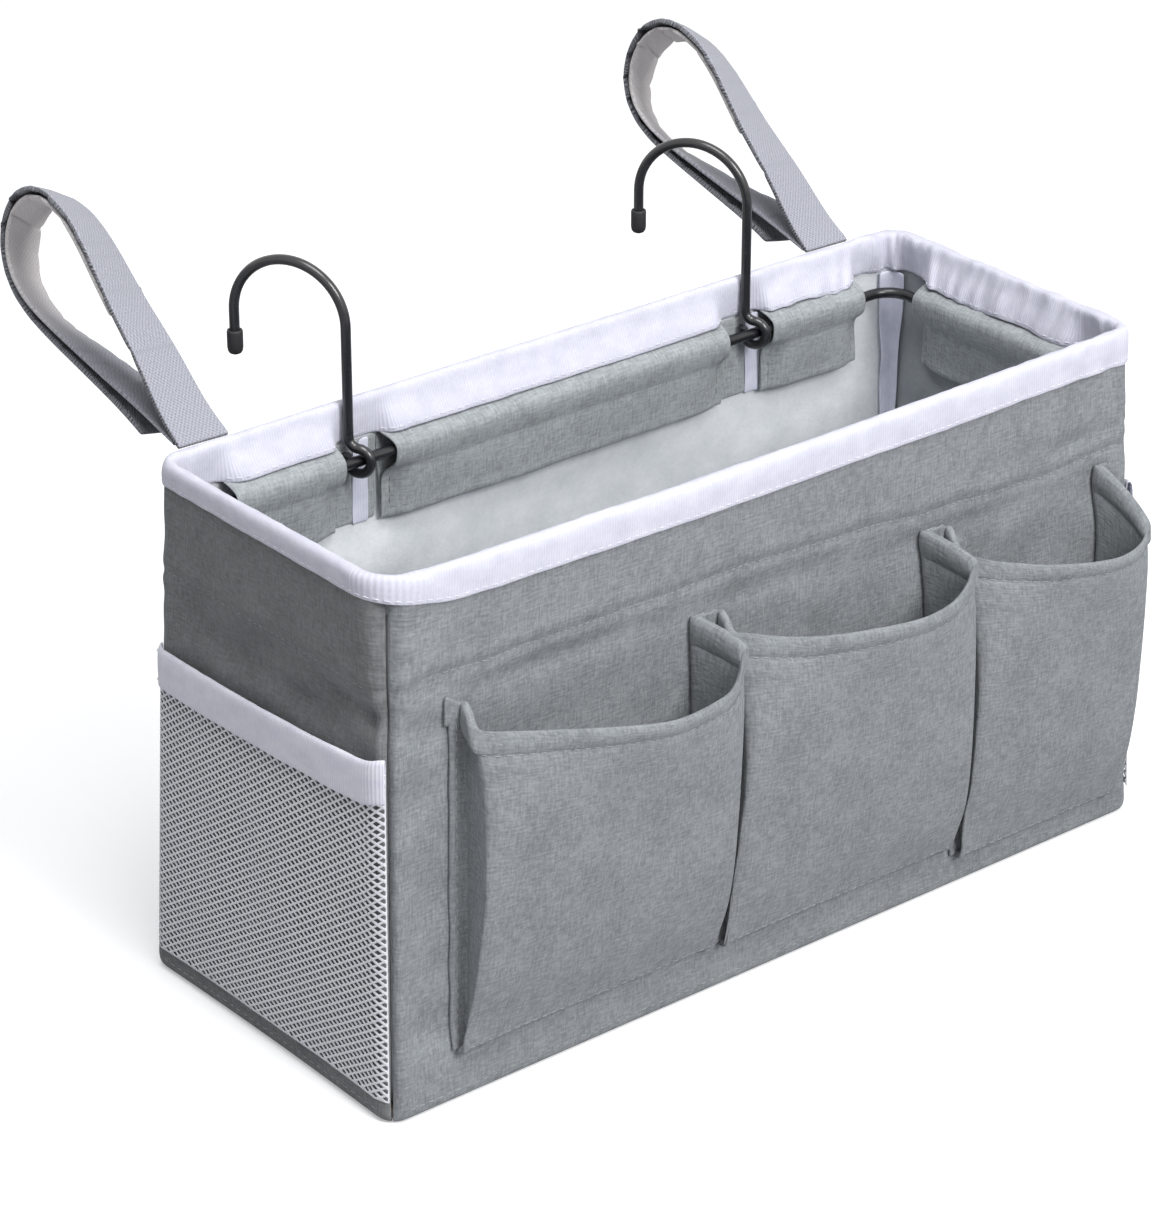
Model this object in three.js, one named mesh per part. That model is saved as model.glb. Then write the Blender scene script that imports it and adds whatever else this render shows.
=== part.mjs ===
// Bedside caddy: a soft open-topped box that hangs on a bed rail.
// Millimetres, +Z up. X runs along the caddy, the pockets face -Y and the hooks and straps reach
// back over the rail towards +Y. The origin is the middle of the underside, on the ground.
import * as THREE from 'three';

// Driving dimensions of the box
const baseLength = 348;
const baseWidth = 140;
const height = 195;
const rimLengthLoss = 14;
const rimWidthLoss = 14;
const cornerRadius = 8;
const innerCornerShare = 0.25;
const fitGap = 0.3;

// Cloth and sheet thicknesses
const canvasThickness = 1.6;
const boardThickness = 2.5;
const liningThickness = 0.5;
const bindingThickness = 0.7;
const casingThickness = 0.8;
const seamTapeThickness = 0.6;

// Rim binding, measured down from the top of the rim
const bindingOuterDrop = 13;
const bindingInnerDrop = 15;
const bindingRound = 0.5;

// Wire frame under the rim
const frameWireDiameter = 4;
const frameAxisDrop = 20.5;
const frameStandoff = 7.2;
const frameCornerRadius = 10;
const sleeveLength = 34;
const sleeveWall = 0.6;

// Casings that hold the frame
const casingBottomDrop = 47;
const casingStitchDrop = 27.5;
const casingCornerClear = 16;
const casingWrapDegrees = 70;
const hookOpeningWidth = 20;
const hookSpacing = 180;

// Corner seam tapes and the tapes in the hook openings
const seamTapeWidth = 9;
const seamTapeFootClear = 4;
const openingTapeWidth = 7;
const openingTapeOffset = 4.5;

// Hooks
const hookWireDiameter = 3.6;
const hookBendRadius = 21.3;
const hookSpringDrop = -28;
const hookLegLength = 16.5;
const hookEyeStartDegrees = 20;
const hookEyeEndDegrees = -270;
const hookCantDegrees = 27;
const tipLength = 9;
const tipWall = 0.7;
const tipFloor = 1.4;
const tipRound = 1.2;
const tipShoulderShare = 0.33;

// Straps
const strapWidth = 20;
const leftStrapInset = 27;
const rightStrapInset = 40;
const strapTapeThickness = 1.5;
const strapSewnLength = 44;
const strapSewnChamfer = 1.8;
const strapReach = 106;
const strapRise = 71;
const strapAxisOutShare = 1.2;
const strapAxisDropShare = 0.8;
const strapSewnClearShare = 1.2;
const strapRootShare = 0.6;
const hookTapeRootOutShare = 0.35;
const hookTapeRootDropShare = 1;

// Front pockets
const pocketThickness = 1.2;
const pocketHemThickness = 2.2;
const pocketHemHeight = 9;
const pocketHemStep = 0.3;
const pocketBottom = 17;
const pocketTop = 145;
const pocketDepth = 27;
const pocketSag = 15;
const pocketPleat = 6;
const pocketFoldRadius = 2;
const pocketFoldLean = 3;
const pocketSeamTopShares = [-0.828, -0.201, 0.402, 0.897];
const pocketSeamBottomShares = [-0.851, -0.201, 0.448, 0.92];

// Side mesh pockets
const netBottom = 10;
const netThickness = 0.8;
const netStrand = 1.3;
const netBulge = 7;
const bandTop = 124;
const bandHeight = 14;
const bandThickness = 0.6;
const bandFrontRise = 8;
const bandBackDrop = 2.5;
const bandRiseStartShare = 0.55;
const netWrapDegrees = 42;
const netCellsAcross = 12;
const netCornerCells = 2;
const netCornerShare = 0.905;
const netCellsUp = 9;
const netTopShare = 0.33;

// How finely the round forms are drawn
const cornerSteps = 4;
const seamSteps = 2;
const frameCornerSteps = 6;
const wireSides = 10;
const roundSides = 16;
const casingSteps = 5;
const eyeSteps = 15;
const footSteps = 5;
const hookSteps = 14;
const strapSteps = 44;
const hookTapeRootSteps = 16;
const pocketSteps = 10;

// Values worked out from the dimensions above
const halfTurn = Math.PI;
const quarterTurn = halfTurn / 2;
const threeQuarterTurn = halfTurn + quarterTurn;
const bindingInset = canvasThickness + fitGap + liningThickness + fitGap;
const liningInset = canvasThickness + fitGap;
const roomInset = liningInset + liningThickness;
const frameZ = height - frameAxisDrop;
const frameInset = roomInset + frameStandoff;
const frameRadius = frameWireDiameter / 2;
const clothTop = height - bindingThickness - fitGap;
const floorZ = canvasThickness + fitGap + boardThickness + fitGap;
const hookX = hookSpacing / 2;
const leftStrapX = leftStrapInset - baseLength / 2;
const rightStrapX = baseLength / 2 - rightStrapInset;
const pocketSeamTops = pocketSeamTopShares.map((share) => (share * baseLength) / 2);
const pocketSeamBottoms = pocketSeamBottomShares.map((share) => (share * baseLength) / 2);
const casingTop = height - bindingInnerDrop - fitGap;

function halfLength(z) {
  return (baseLength - rimLengthLoss * z / height) / 2;
}

function halfWidth(z) {
  return (baseWidth - rimWidthLoss * z / height) / 2;
}

function material(color, roughness, metalness = 0) {
  return new THREE.MeshStandardMaterial({ color, roughness, metalness });
}

const canvasLook = () => material(0x8c9193, 0.95);
const liningLook = () => material(0xcdd4da, 0.9);
const tapeLook = () => material(0xe1e1f0, 0.75);
const wireLook = () => material(0x1e1e20, 0.35, 0.6);
const strapLook = () => material(0xb9bcc8, 0.9);

// The signed volume tells whether a closed surface faces out.
function faceOut(geometry) {
  const place = geometry.getAttribute('position');
  const index = geometry.getIndex();
  const corners = [new THREE.Vector3(), new THREE.Vector3(), new THREE.Vector3()];
  let volume = 0;
  for (let i = 0; i < index.count; i += 3) {
    corners.forEach((corner, k) => corner.fromBufferAttribute(place, index.getX(i + k)));
    volume += corners[0].dot(corners[1].clone().cross(corners[2]));
  }
  if (volume < 0) {
    const turned = Array.from(index.array);
    for (let i = 0; i < turned.length; i += 3) {
      [turned[i], turned[i + 1]] = [turned[i + 1], turned[i]];
    }
    geometry.setIndex(turned);
  }
  geometry.computeVertexNormals();
  return geometry;
}

// The flat end of a lofted body, as triangles between the numbered points of its outline.
function outlineCap(outline) {
  const clockwise = THREE.ShapeUtils.isClockWise(outline);
  const ordered = clockwise ? [...outline].reverse() : outline;
  const triangles = THREE.ShapeUtils.triangulateShape(ordered, []);
  return triangles.map((cap) => (
    clockwise ? cap.map((i) => outline.length - 1 - i).reverse() : cap
  ));
}

const flatCap = (ring) => outlineCap(ring.map((p) => new THREE.Vector2(p.x, p.y)));

// The end of a ribbon, whose ring runs out along one face and back along the other.
function ribbonCap(ring) {
  const last = ring.length - 1;
  const triangles = [];
  for (let i = 0; i < last - i - 1; i += 1) {
    triangles.push([i, i + 1, last - i - 1], [i, last - i - 1, last - i]);
  }
  return triangles;
}

// Join rings of points into one closed body. A run of rings without a cap closes on itself.
function loft(rings, cap) {
  const count = rings[0].length;
  const positions = [];
  const faces = [];
  rings.forEach((ring) => ring.forEach((p) => positions.push(p.x, p.y, p.z)));
  const spans = cap ? rings.length - 1 : rings.length;
  for (let r = 0; r < spans; r += 1) {
    const next = (r + 1) % rings.length;
    for (let k = 0; k < count; k += 1) {
      const after = (k + 1) % count;
      const a = r * count + k;
      const b = r * count + after;
      const c = next * count + after;
      const d = next * count + k;
      faces.push(a, b, c, a, c, d);
    }
  }
  if (cap) {
    const last = (rings.length - 1) * count;
    cap.forEach(([a, b, c]) => faces.push(c, b, a, last + a, last + b, last + c));
  }
  const geometry = new THREE.BufferGeometry();
  geometry.setAttribute('position', new THREE.Float32BufferAttribute(positions, 3));
  geometry.setIndex(faces);
  return faceOut(geometry);
}

const part = new THREE.Group();

function addPiece(name, geometry, look, parent = part) {
  const mesh = new THREE.Mesh(geometry, look);
  mesh.name = name;
  parent.add(mesh);
  return mesh;
}

// Points round a centre from one heading on, a quarter turn or less, at a given height.
function cornerArc(x, y, z, radius, startAngle, steps, sweep = quarterTurn) {
  const points = [];
  for (let i = 0; i <= steps; i += 1) {
    const angle = startAngle + sweep * (i / steps);
    points.push(new THREE.Vector3(x + radius * Math.cos(angle), y + radius * Math.sin(angle), z));
  }
  return points;
}

// The plan of the box at a height: a rounded rectangle set in from the outer face of the canvas.
function planRing(z, inset) {
  const length = halfLength(z) - inset;
  const width = halfWidth(z) - inset;
  const radius = Math.max(cornerRadius - inset, cornerRadius * innerCornerShare);
  const x = length - radius;
  const y = width - radius;
  return [
    ...cornerArc(x, y, z, radius, 0, cornerSteps),
    ...cornerArc(-x, y, z, radius, quarterTurn, cornerSteps),
    ...cornerArc(-x, -y, z, radius, halfTurn, cornerSteps),
    ...cornerArc(x, -y, z, radius, threeQuarterTurn, cornerSteps),
  ];
}

// Walls: each canvas panel runs from the seam in the middle of one corner to that in the next.
// The quarters count round from the right side, by way of the back and the left.
function wallPanel(quarter) {
  const inner = cornerRadius - canvasThickness;
  const sweep = (quarterTurn - fitGap / inner) / 2;
  const heading = quarter * quarterTurn;
  const ringAt = (z) => {
    const x = halfLength(z) - cornerRadius;
    const y = halfWidth(z) - cornerRadius;
    const centres = [[x, -y], [x, y], [-x, y], [-x, -y]];
    const from = centres[quarter];
    const to = centres[(quarter + 1) % centres.length];
    const face = (radius) => [
      ...cornerArc(from[0], from[1], z, radius, heading - sweep, seamSteps, sweep),
      ...cornerArc(to[0], to[1], z, radius, heading, seamSteps, sweep),
    ];
    return [...face(cornerRadius), ...face(inner).reverse()];
  };
  const rings = [ringAt(canvasThickness + fitGap), ringAt(clothTop)];
  return loft(rings, ribbonCap(rings[0]));
}

const walls = ['right_side_panel', 'back_panel', 'left_side_panel', 'front_panel'];
walls.forEach((name, quarter) => addPiece(name, wallPanel(quarter), canvasLook()));

// Floor: canvas outside, with the stiff board on it.
const floorRings = [planRing(0, 0), planRing(canvasThickness, 0)];
addPiece('bottom_panel', loft(floorRings, flatCap(floorRings[0])), canvasLook());

const boardLow = canvasThickness + fitGap;
const boardRings = [planRing(boardLow, liningInset), planRing(boardLow + boardThickness, liningInset)];
addPiece('bottom_board', loft(boardRings, flatCap(boardRings[0])), material(0xb9a98c, 0.9));

// Lining: a bag of pale non-woven cloth, open at the top.
const liningRings = [
  planRing(floorZ, liningInset),
  planRing(clothTop, liningInset),
  planRing(clothTop, roomInset),
  planRing(floorZ + liningThickness, roomInset),
];
addPiece('inner_lining', loft(liningRings, flatCap(liningRings[0])), liningLook());

// Rim binding: one tape folded over the edges of canvas and lining, all the way round.
function rimBinding() {
  const outer = fitGap + bindingThickness;
  const inner = -bindingInset - bindingThickness;
  const profile = [
    [outer, height - bindingOuterDrop],
    [outer, height - bindingRound],
    [outer - bindingRound, height],
    [inner + bindingRound, height],
    [inner, height - bindingRound],
    [inner, height - bindingInnerDrop],
    [-bindingInset, height - bindingInnerDrop],
    [-bindingInset, clothTop + fitGap],
    [fitGap, clothTop + fitGap],
    [fitGap, height - bindingOuterDrop],
  ];
  const loops = profile.map(([out, z]) => planRing(z, -out));
  const stations = loops[0].map((_, i) => loops.map((loop) => loop[i]));
  return loft(stations);
}

addPiece('rim_binding', rimBinding(), tapeLook());

// A path that passes through its own stations, however they are spaced.
class StationPath extends THREE.Curve {
  constructor(stations) {
    super();
    this.stations = stations;
  }

  getPoint(t, target = new THREE.Vector3()) {
    const last = this.stations.length - 1;
    const at = Math.min(Math.max(t, 0), 1) * last;
    const low = Math.min(Math.floor(at), last - 1);
    return target.lerpVectors(this.stations[low], this.stations[low + 1], at - low);
  }

  getPointAt(u, target) {
    return this.getPoint(u, target);
  }

  getTangentAt(u, target) {
    return this.getTangent(u, target);
  }
}

function bentWire(stations, radius) {
  const section = new THREE.Shape(
    Array.from({ length: wireSides }, (_, i) => new THREE.Vector2(
      radius * Math.cos(2 * halfTurn * i / wireSides),
      radius * Math.sin(2 * halfTurn * i / wireSides),
    )),
  );
  return new THREE.ExtrudeGeometry(section, {
    steps: stations.length - 1,
    extrudePath: new StationPath(stations),
  });
}

// Frame rods: two U-shaped halves whose ends meet in the sleeves.
const frameX = halfLength(frameZ) - frameInset;
const frameY = halfWidth(frameZ) - frameInset;

function frameHalf(side) {
  const x = frameX - frameCornerRadius;
  const y = frameY - frameCornerRadius;
  const stations = [
    new THREE.Vector3(-frameX, -fitGap / 2, frameZ),
    ...cornerArc(-x, -y, frameZ, frameCornerRadius, halfTurn, frameCornerSteps),
    ...cornerArc(x, -y, frameZ, frameCornerRadius, threeQuarterTurn, frameCornerSteps),
    new THREE.Vector3(frameX, -fitGap / 2, frameZ),
  ];
  const placed = stations.map((p) => (side < 0 ? p : new THREE.Vector3(-p.x, -p.y, p.z)));
  return bentWire(placed, frameRadius);
}

addPiece('frame_rod_front', frameHalf(-1), wireLook());
addPiece('frame_rod_back', frameHalf(1), wireLook());

const sleeveBore = frameRadius + fitGap;
const sleeveRadius = sleeveBore + sleeveWall;

function frameSleeve() {
  const half = sleeveLength / 2;
  const profile = [
    new THREE.Vector2(sleeveBore, -half),
    new THREE.Vector2(sleeveRadius, -half),
    new THREE.Vector2(sleeveRadius, half),
    new THREE.Vector2(sleeveBore, half),
    new THREE.Vector2(sleeveBore, -half),
  ];
  return new THREE.LatheGeometry(profile, roundSides);
}

for (const [name, side] of [['left', -1], ['right', 1]]) {
  const sleeve = addPiece(`frame_sleeve_${name}`, frameSleeve(), wireLook());
  sleeve.position.set(side * frameX, 0, frameZ);
}

// Casings: a flap of canvas sewn under the binding, folded round the frame and stitched below it.
// Its section is drawn by how far it stands in from the lining and by height.
const casingStitchZ = height - casingStitchDrop;
const casingBottomZ = height - casingBottomDrop;

function casingShape(channelRadius, roomFace) {
  const t = casingThickness;
  const point = (standoff, z) => new THREE.Vector2(roomFace(z) - standoff, z);
  const wallPly = fitGap + t;
  const neck = wallPly + t;
  // The cloth runs from a foot on the wall, round the frame and back to the wall above it.
  const roundFrame = (radius, low, high, foot) => {
    const points = [point(foot, low)];
    for (let i = 0; i <= casingSteps; i += 1) {
      const angle = (casingWrapDegrees * (2 * i / casingSteps - 1) * halfTurn) / 180;
      points.push(point(frameStandoff + radius * Math.cos(angle), frameZ + radius * Math.sin(angle)));
    }
    points.push(point(foot, high));
    return points;
  };
  // Counterclockwise, as a shape with a hole has to be.
  const shape = new THREE.Shape([
    point(fitGap, casingBottomZ),
    point(fitGap, casingTop),
    ...roundFrame(channelRadius + t, casingStitchZ, casingTop, neck).reverse(),
    point(neck, casingBottomZ),
  ]);
  shape.holes.push(new THREE.Path(roundFrame(channelRadius, casingStitchZ + t, casingTop - t, wallPly)));
  return shape;
}

// An extruded section runs along the wall from one place to the other.
function wallCasing(wall, start, end, channelRadius) {
  const roomFace = (z) => (
    wall === 'front' || wall === 'back' ? halfWidth(z) - roomInset : halfLength(z) - roomInset
  );
  const shape = casingShape(channelRadius, roomFace);
  const geometry = new THREE.ExtrudeGeometry(shape, { depth: end - start, bevelEnabled: false });
  const turns = { back: 0, left: quarterTurn, front: halfTurn, right: -quarterTurn };
  // The section's own X and Y become the way out of the room and up.
  const stand = new THREE.Matrix4().makeBasis(
    new THREE.Vector3(0, 1, 0),
    new THREE.Vector3(0, 0, 1),
    new THREE.Vector3(1, 0, 0),
  );
  geometry.applyMatrix4(stand);
  geometry.translate(start, 0, 0);
  geometry.rotateZ(turns[wall]);
  return geometry;
}

const rodChannel = frameRadius + fitGap;
const sleeveChannel = sleeveRadius + fitGap;
const casingLongEnd = halfLength(frameZ) - roomInset - casingCornerClear;
const casingShortEnd = halfWidth(frameZ) - roomInset - casingCornerClear;
const openingHalf = hookOpeningWidth / 2;

const casings = [
  ['casing_front', 'front', -casingLongEnd, casingLongEnd, rodChannel],
  ['casing_back_left', 'back', -casingLongEnd, -hookX - openingHalf, rodChannel],
  ['casing_back_middle', 'back', -hookX + openingHalf, hookX - openingHalf, rodChannel],
  ['casing_back_right', 'back', hookX + openingHalf, casingLongEnd, rodChannel],
  ['casing_left', 'left', -casingShortEnd, casingShortEnd, sleeveChannel],
  ['casing_right', 'right', -casingShortEnd, casingShortEnd, sleeveChannel],
];
for (const [name, wall, start, end, channel] of casings) {
  addPiece(name, wallCasing(wall, start, end, channel), canvasLook());
}

// Corner seam tapes: tape bent round each inside corner, from the floor to the binding.
function cornerTape(sideX, sideY) {
  const low = floorZ + liningThickness + seamTapeFootClear;
  const inset = roomInset + fitGap;
  const outer = cornerRadius - inset;
  const inner = outer - seamTapeThickness;
  const ringAt = (z) => {
    const x = halfLength(z) - cornerRadius;
    const y = halfWidth(z) - cornerRadius;
    const level = (radius) => [
      new THREE.Vector3(x + outer - seamTapeWidth, y + radius, z),
      ...cornerArc(x, y, z, radius, 0, cornerSteps).reverse(),
      new THREE.Vector3(x + radius, y + outer - seamTapeWidth, z),
    ];
    const ring = [...level(outer), ...level(inner).reverse()];
    return ring.map((p) => new THREE.Vector3(sideX * p.x, sideY * p.y, p.z));
  };
  const rings = [ringAt(low), ringAt(casingTop)];
  return loft(rings, ribbonCap(rings[0]));
}

for (const [endName, sideX] of [['left', -1], ['right', 1]]) {
  for (const [faceName, sideY] of [['front', -1], ['back', 1]]) {
    addPiece(`corner_tape_${faceName}_${endName}`, cornerTape(sideX, sideY), tapeLook());
  }
}

// Tapes in the hook openings: they cover the raw end of the casing flap on the wall.
function openingTape(x) {
  const ringAt = (z) => {
    const face = halfWidth(z) - roomInset - fitGap;
    const half = openingTapeWidth / 2;
    return [
      new THREE.Vector3(x - half, face, z),
      new THREE.Vector3(x + half, face, z),
      new THREE.Vector3(x + half, face - seamTapeThickness, z),
      new THREE.Vector3(x - half, face - seamTapeThickness, z),
    ];
  };
  const rings = [ringAt(casingBottomZ), ringAt(casingTop)];
  return loft(rings, flatCap(rings[0]));
}

addPiece('hook_opening_tape_left', openingTape(-hookX + openingTapeOffset), tapeLook());
addPiece('hook_opening_tape_right', openingTape(hookX + openingTapeOffset), tapeLook());

// Hooks: one wire bent into an eye round the frame, a foot bend, a shaft and the open hook.
// The path is drawn in the hook's own plane, with the frame's axis at its centre.
const hookRadius = hookWireDiameter / 2;
const hookCant = hookCantDegrees * halfTurn / 180;
const eyeRadius = (frameRadius + hookRadius + fitGap) / Math.cos(hookCant);
const hookSpringZ = height - hookSpringDrop - frameZ;
// The shaft stands just clear of the binding, so the foot bend fills the room that is left.
const hookSeatY = halfWidth(height) - bindingInset - bindingThickness - fitGap;
const hookFootBendRadius = (hookSeatY - frameY - hookRadius) / Math.cos(hookCant);
const hookMouthX = hookFootBendRadius + 2 * hookBendRadius;
const tipBase = hookSpringZ - hookLegLength;
const hookWireEnd = tipBase + tipFloor + fitGap;

function hookStations() {
  const stations = [];
  const turn = (cx, cz, radius, from, to, steps) => {
    for (let i = 0; i <= steps; i += 1) {
      const angle = (from + (to - from) * i / steps) * halfTurn / 180;
      stations.push(new THREE.Vector3(cx + radius * Math.cos(angle), 0, cz + radius * Math.sin(angle)));
    }
  };
  turn(0, 0, eyeRadius, hookEyeStartDegrees, hookEyeEndDegrees, eyeSteps);
  const footZ = eyeRadius + hookFootBendRadius;
  stations.pop();
  turn(0, footZ, hookFootBendRadius, -90, 0, footSteps);
  turn(hookFootBendRadius + hookBendRadius, hookSpringZ, hookBendRadius, 180, 0, hookSteps);
  stations.push(new THREE.Vector3(hookMouthX, 0, hookWireEnd));
  return stations;
}

function rubberTip() {
  const bore = hookRadius + fitGap;
  const outer = bore + tipWall;
  const shoulder = tipRound * tipShoulderShare;
  const profile = [
    new THREE.Vector2(0, 0),
    new THREE.Vector2(outer - tipRound, 0),
    new THREE.Vector2(outer - shoulder, shoulder),
    new THREE.Vector2(outer, tipRound),
    new THREE.Vector2(outer, tipLength),
    new THREE.Vector2(bore, tipLength),
    new THREE.Vector2(bore, tipFloor),
    new THREE.Vector2(0, tipFloor),
  ];
  const geometry = new THREE.LatheGeometry(profile, roundSides);
  geometry.rotateX(quarterTurn);
  geometry.translate(hookMouthX, 0, tipBase);
  return geometry;
}

for (const [name, side] of [['left', -1], ['right', 1]]) {
  const hook = new THREE.Group();
  hook.position.set(side * hookX, frameY, frameZ);
  hook.rotation.z = quarterTurn + hookCant;
  addPiece(`hook_${name}_wire`, bentWire(hookStations(), hookRadius), wireLook(), hook);
  addPiece(`hook_${name}_tip`, rubberTip(), material(0x161618, 0.7), hook);
  part.add(hook);
}

// Straps. The loop is drawn by shares of its reach behind the wall and its rise above the rim,
// along the outer face of the loop tape from the rim seam to the free end.
const strapLoopShares = [
  [0, 0], [0.09, 0.12], [0.19, 0.27], [0.3, 0.45], [0.41, 0.67], [0.49, 0.84], [0.59, 0.96], [0.7, 1],
  [0.82, 0.97], [0.94, 0.84], [1, 0.65], [0.99, 0.49], [0.88, 0.34], [0.65, 0.22], [0.42, 0.13],
  [0.27, 0.04], [0.16, -0.06],
];
const hookTapeRootShares = [[0.53, 0.206], [0.35, 0.155], [0.195, 0.1], [0.09, -0.005]];
const hookTapeStartShare = 0.78;
const hookTapeEndShare = 0.27;
const rimFace = halfWidth(height) + fitGap + bindingThickness;
const strapAxisY = rimFace + fitGap + strapTapeThickness * strapAxisOutShare;
const strapAxisZ = height + fitGap - strapTapeThickness * strapAxisDropShare;
const strapStartY = strapAxisY - strapTapeThickness * strapRootShare;
const strapStartZ = strapAxisZ + strapTapeThickness;
const sewnEndTop = strapAxisZ - strapTapeThickness * strapSewnClearShare - fitGap;

function strapPoint(share) {
  return new THREE.Vector3(0, strapStartY + strapReach * share[0], strapStartZ + strapRise * share[1]);
}

// Points of a curve moved square to it, towards the inside of the loop.
function insideOf(points, distance) {
  return points.map((p, i) => {
    const before = points[Math.max(i - 1, 0)];
    const after = points[Math.min(i + 1, points.length - 1)];
    const along = after.clone().sub(before).normalize();
    return new THREE.Vector3(0, p.y + along.z * distance, p.z - along.y * distance);
  });
}

// A tape is the band between an outer line and an inner line, as wide as the strap.
function tapeAlong(outer, thickness, x) {
  const inner = insideOf(outer, thickness);
  const outline = [...outer, ...inner.reverse()].map((p) => new THREE.Vector2(p.y, p.z));
  const geometry = new THREE.ExtrudeGeometry(new THREE.Shape(outline), {
    depth: strapWidth,
    bevelEnabled: false,
  });
  const stand = new THREE.Matrix4().makeBasis(
    new THREE.Vector3(0, 1, 0),
    new THREE.Vector3(0, 0, 1),
    new THREE.Vector3(1, 0, 0),
  );
  geometry.applyMatrix4(stand);
  geometry.translate(x - strapWidth / 2, 0, 0);
  return geometry;
}

const loopCurve = new THREE.CatmullRomCurve3(strapLoopShares.map(strapPoint), false, 'centripetal');
const loopOuter = loopCurve.getSpacedPoints(strapSteps);

function hookTapeOuter() {
  const inside = insideOf(loopOuter, strapTapeThickness + fitGap);
  const first = Math.round(hookTapeEndShare * (inside.length - 1));
  const last = Math.round(hookTapeStartShare * (inside.length - 1));
  const stuck = inside.slice(first, last + 1);
  const end = new THREE.Vector3(
    0,
    strapAxisY + strapTapeThickness * hookTapeRootOutShare,
    strapAxisZ - strapTapeThickness * hookTapeRootDropShare,
  );
  const root = [stuck.at(-1), ...hookTapeRootShares.map(strapPoint), end];
  const curve = new THREE.CatmullRomCurve3(root, false, 'centripetal');
  return [...stuck, ...curve.getSpacedPoints(hookTapeRootSteps).slice(1)];
}

// The sewn end thins out to one tape at its top, so that the loop can fold down over it.
function strapSewnEnd(x) {
  const both = 2 * strapTapeThickness + fitGap;
  const ringAt = (z, thick) => {
    const near = halfWidth(z) + bindingThickness + 2 * fitGap;
    const half = strapWidth / 2;
    return [[x - half, near], [x + half, near], [x + half, near + thick], [x - half, near + thick]].map(
      (p) => new THREE.Vector3(p[0], p[1], z),
    );
  };
  const rings = [
    ringAt(sewnEndTop - strapSewnLength, both),
    ringAt(sewnEndTop - strapSewnChamfer, both),
    ringAt(sewnEndTop, strapTapeThickness),
  ];
  return loft(rings, flatCap(rings[0]));
}

for (const [name, x] of [['left', leftStrapX], ['right', rightStrapX]]) {
  addPiece(`strap_${name}_sewn_end`, strapSewnEnd(x), strapLook());
  addPiece(`strap_${name}_loop_tape`, tapeAlong(loopOuter, strapTapeThickness, x), strapLook());
  addPiece(`strap_${name}_hook_tape`, tapeAlong(hookTapeOuter(), strapTapeThickness, x),
    material(0xd8d2cc, 0.85));
}

// Front pockets. Each is one strip of canvas: flat on the panel at both seams, pleated back under
// its own front at each side, and bellied out towards the top, where it ends in a folded hem.
// Each row is a share of the height, then of the depth at the left fold, right fold and belly.
const pocketShares = [
  [0, 0, 0, 0], [0.06, 0.08, 0.15, 0.12], [0.16, 0.2, 0.36, 0.32], [0.3, 0.35, 0.52, 0.49],
  [0.46, 0.47, 0.63, 0.63], [0.62, 0.54, 0.71, 0.75], [0.76, 0.56, 0.76, 0.86],
  [0.87, 0.5, 0.78, 0.94], [1, 0.34, 0.76, 1],
];
const gussetBendShare = 0.45;
const pocketHangPower = 3;

function pocketRowAt(level) {
  const next = Math.max(pocketShares.findIndex((row) => row[0] >= level), 1);
  const [low, high] = [pocketShares[next - 1], pocketShares[next]];
  const share = (level - low[0]) / (high[0] - low[0]);
  return low.map((value, i) => value + (high[i] - value) * share);
}

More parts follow.
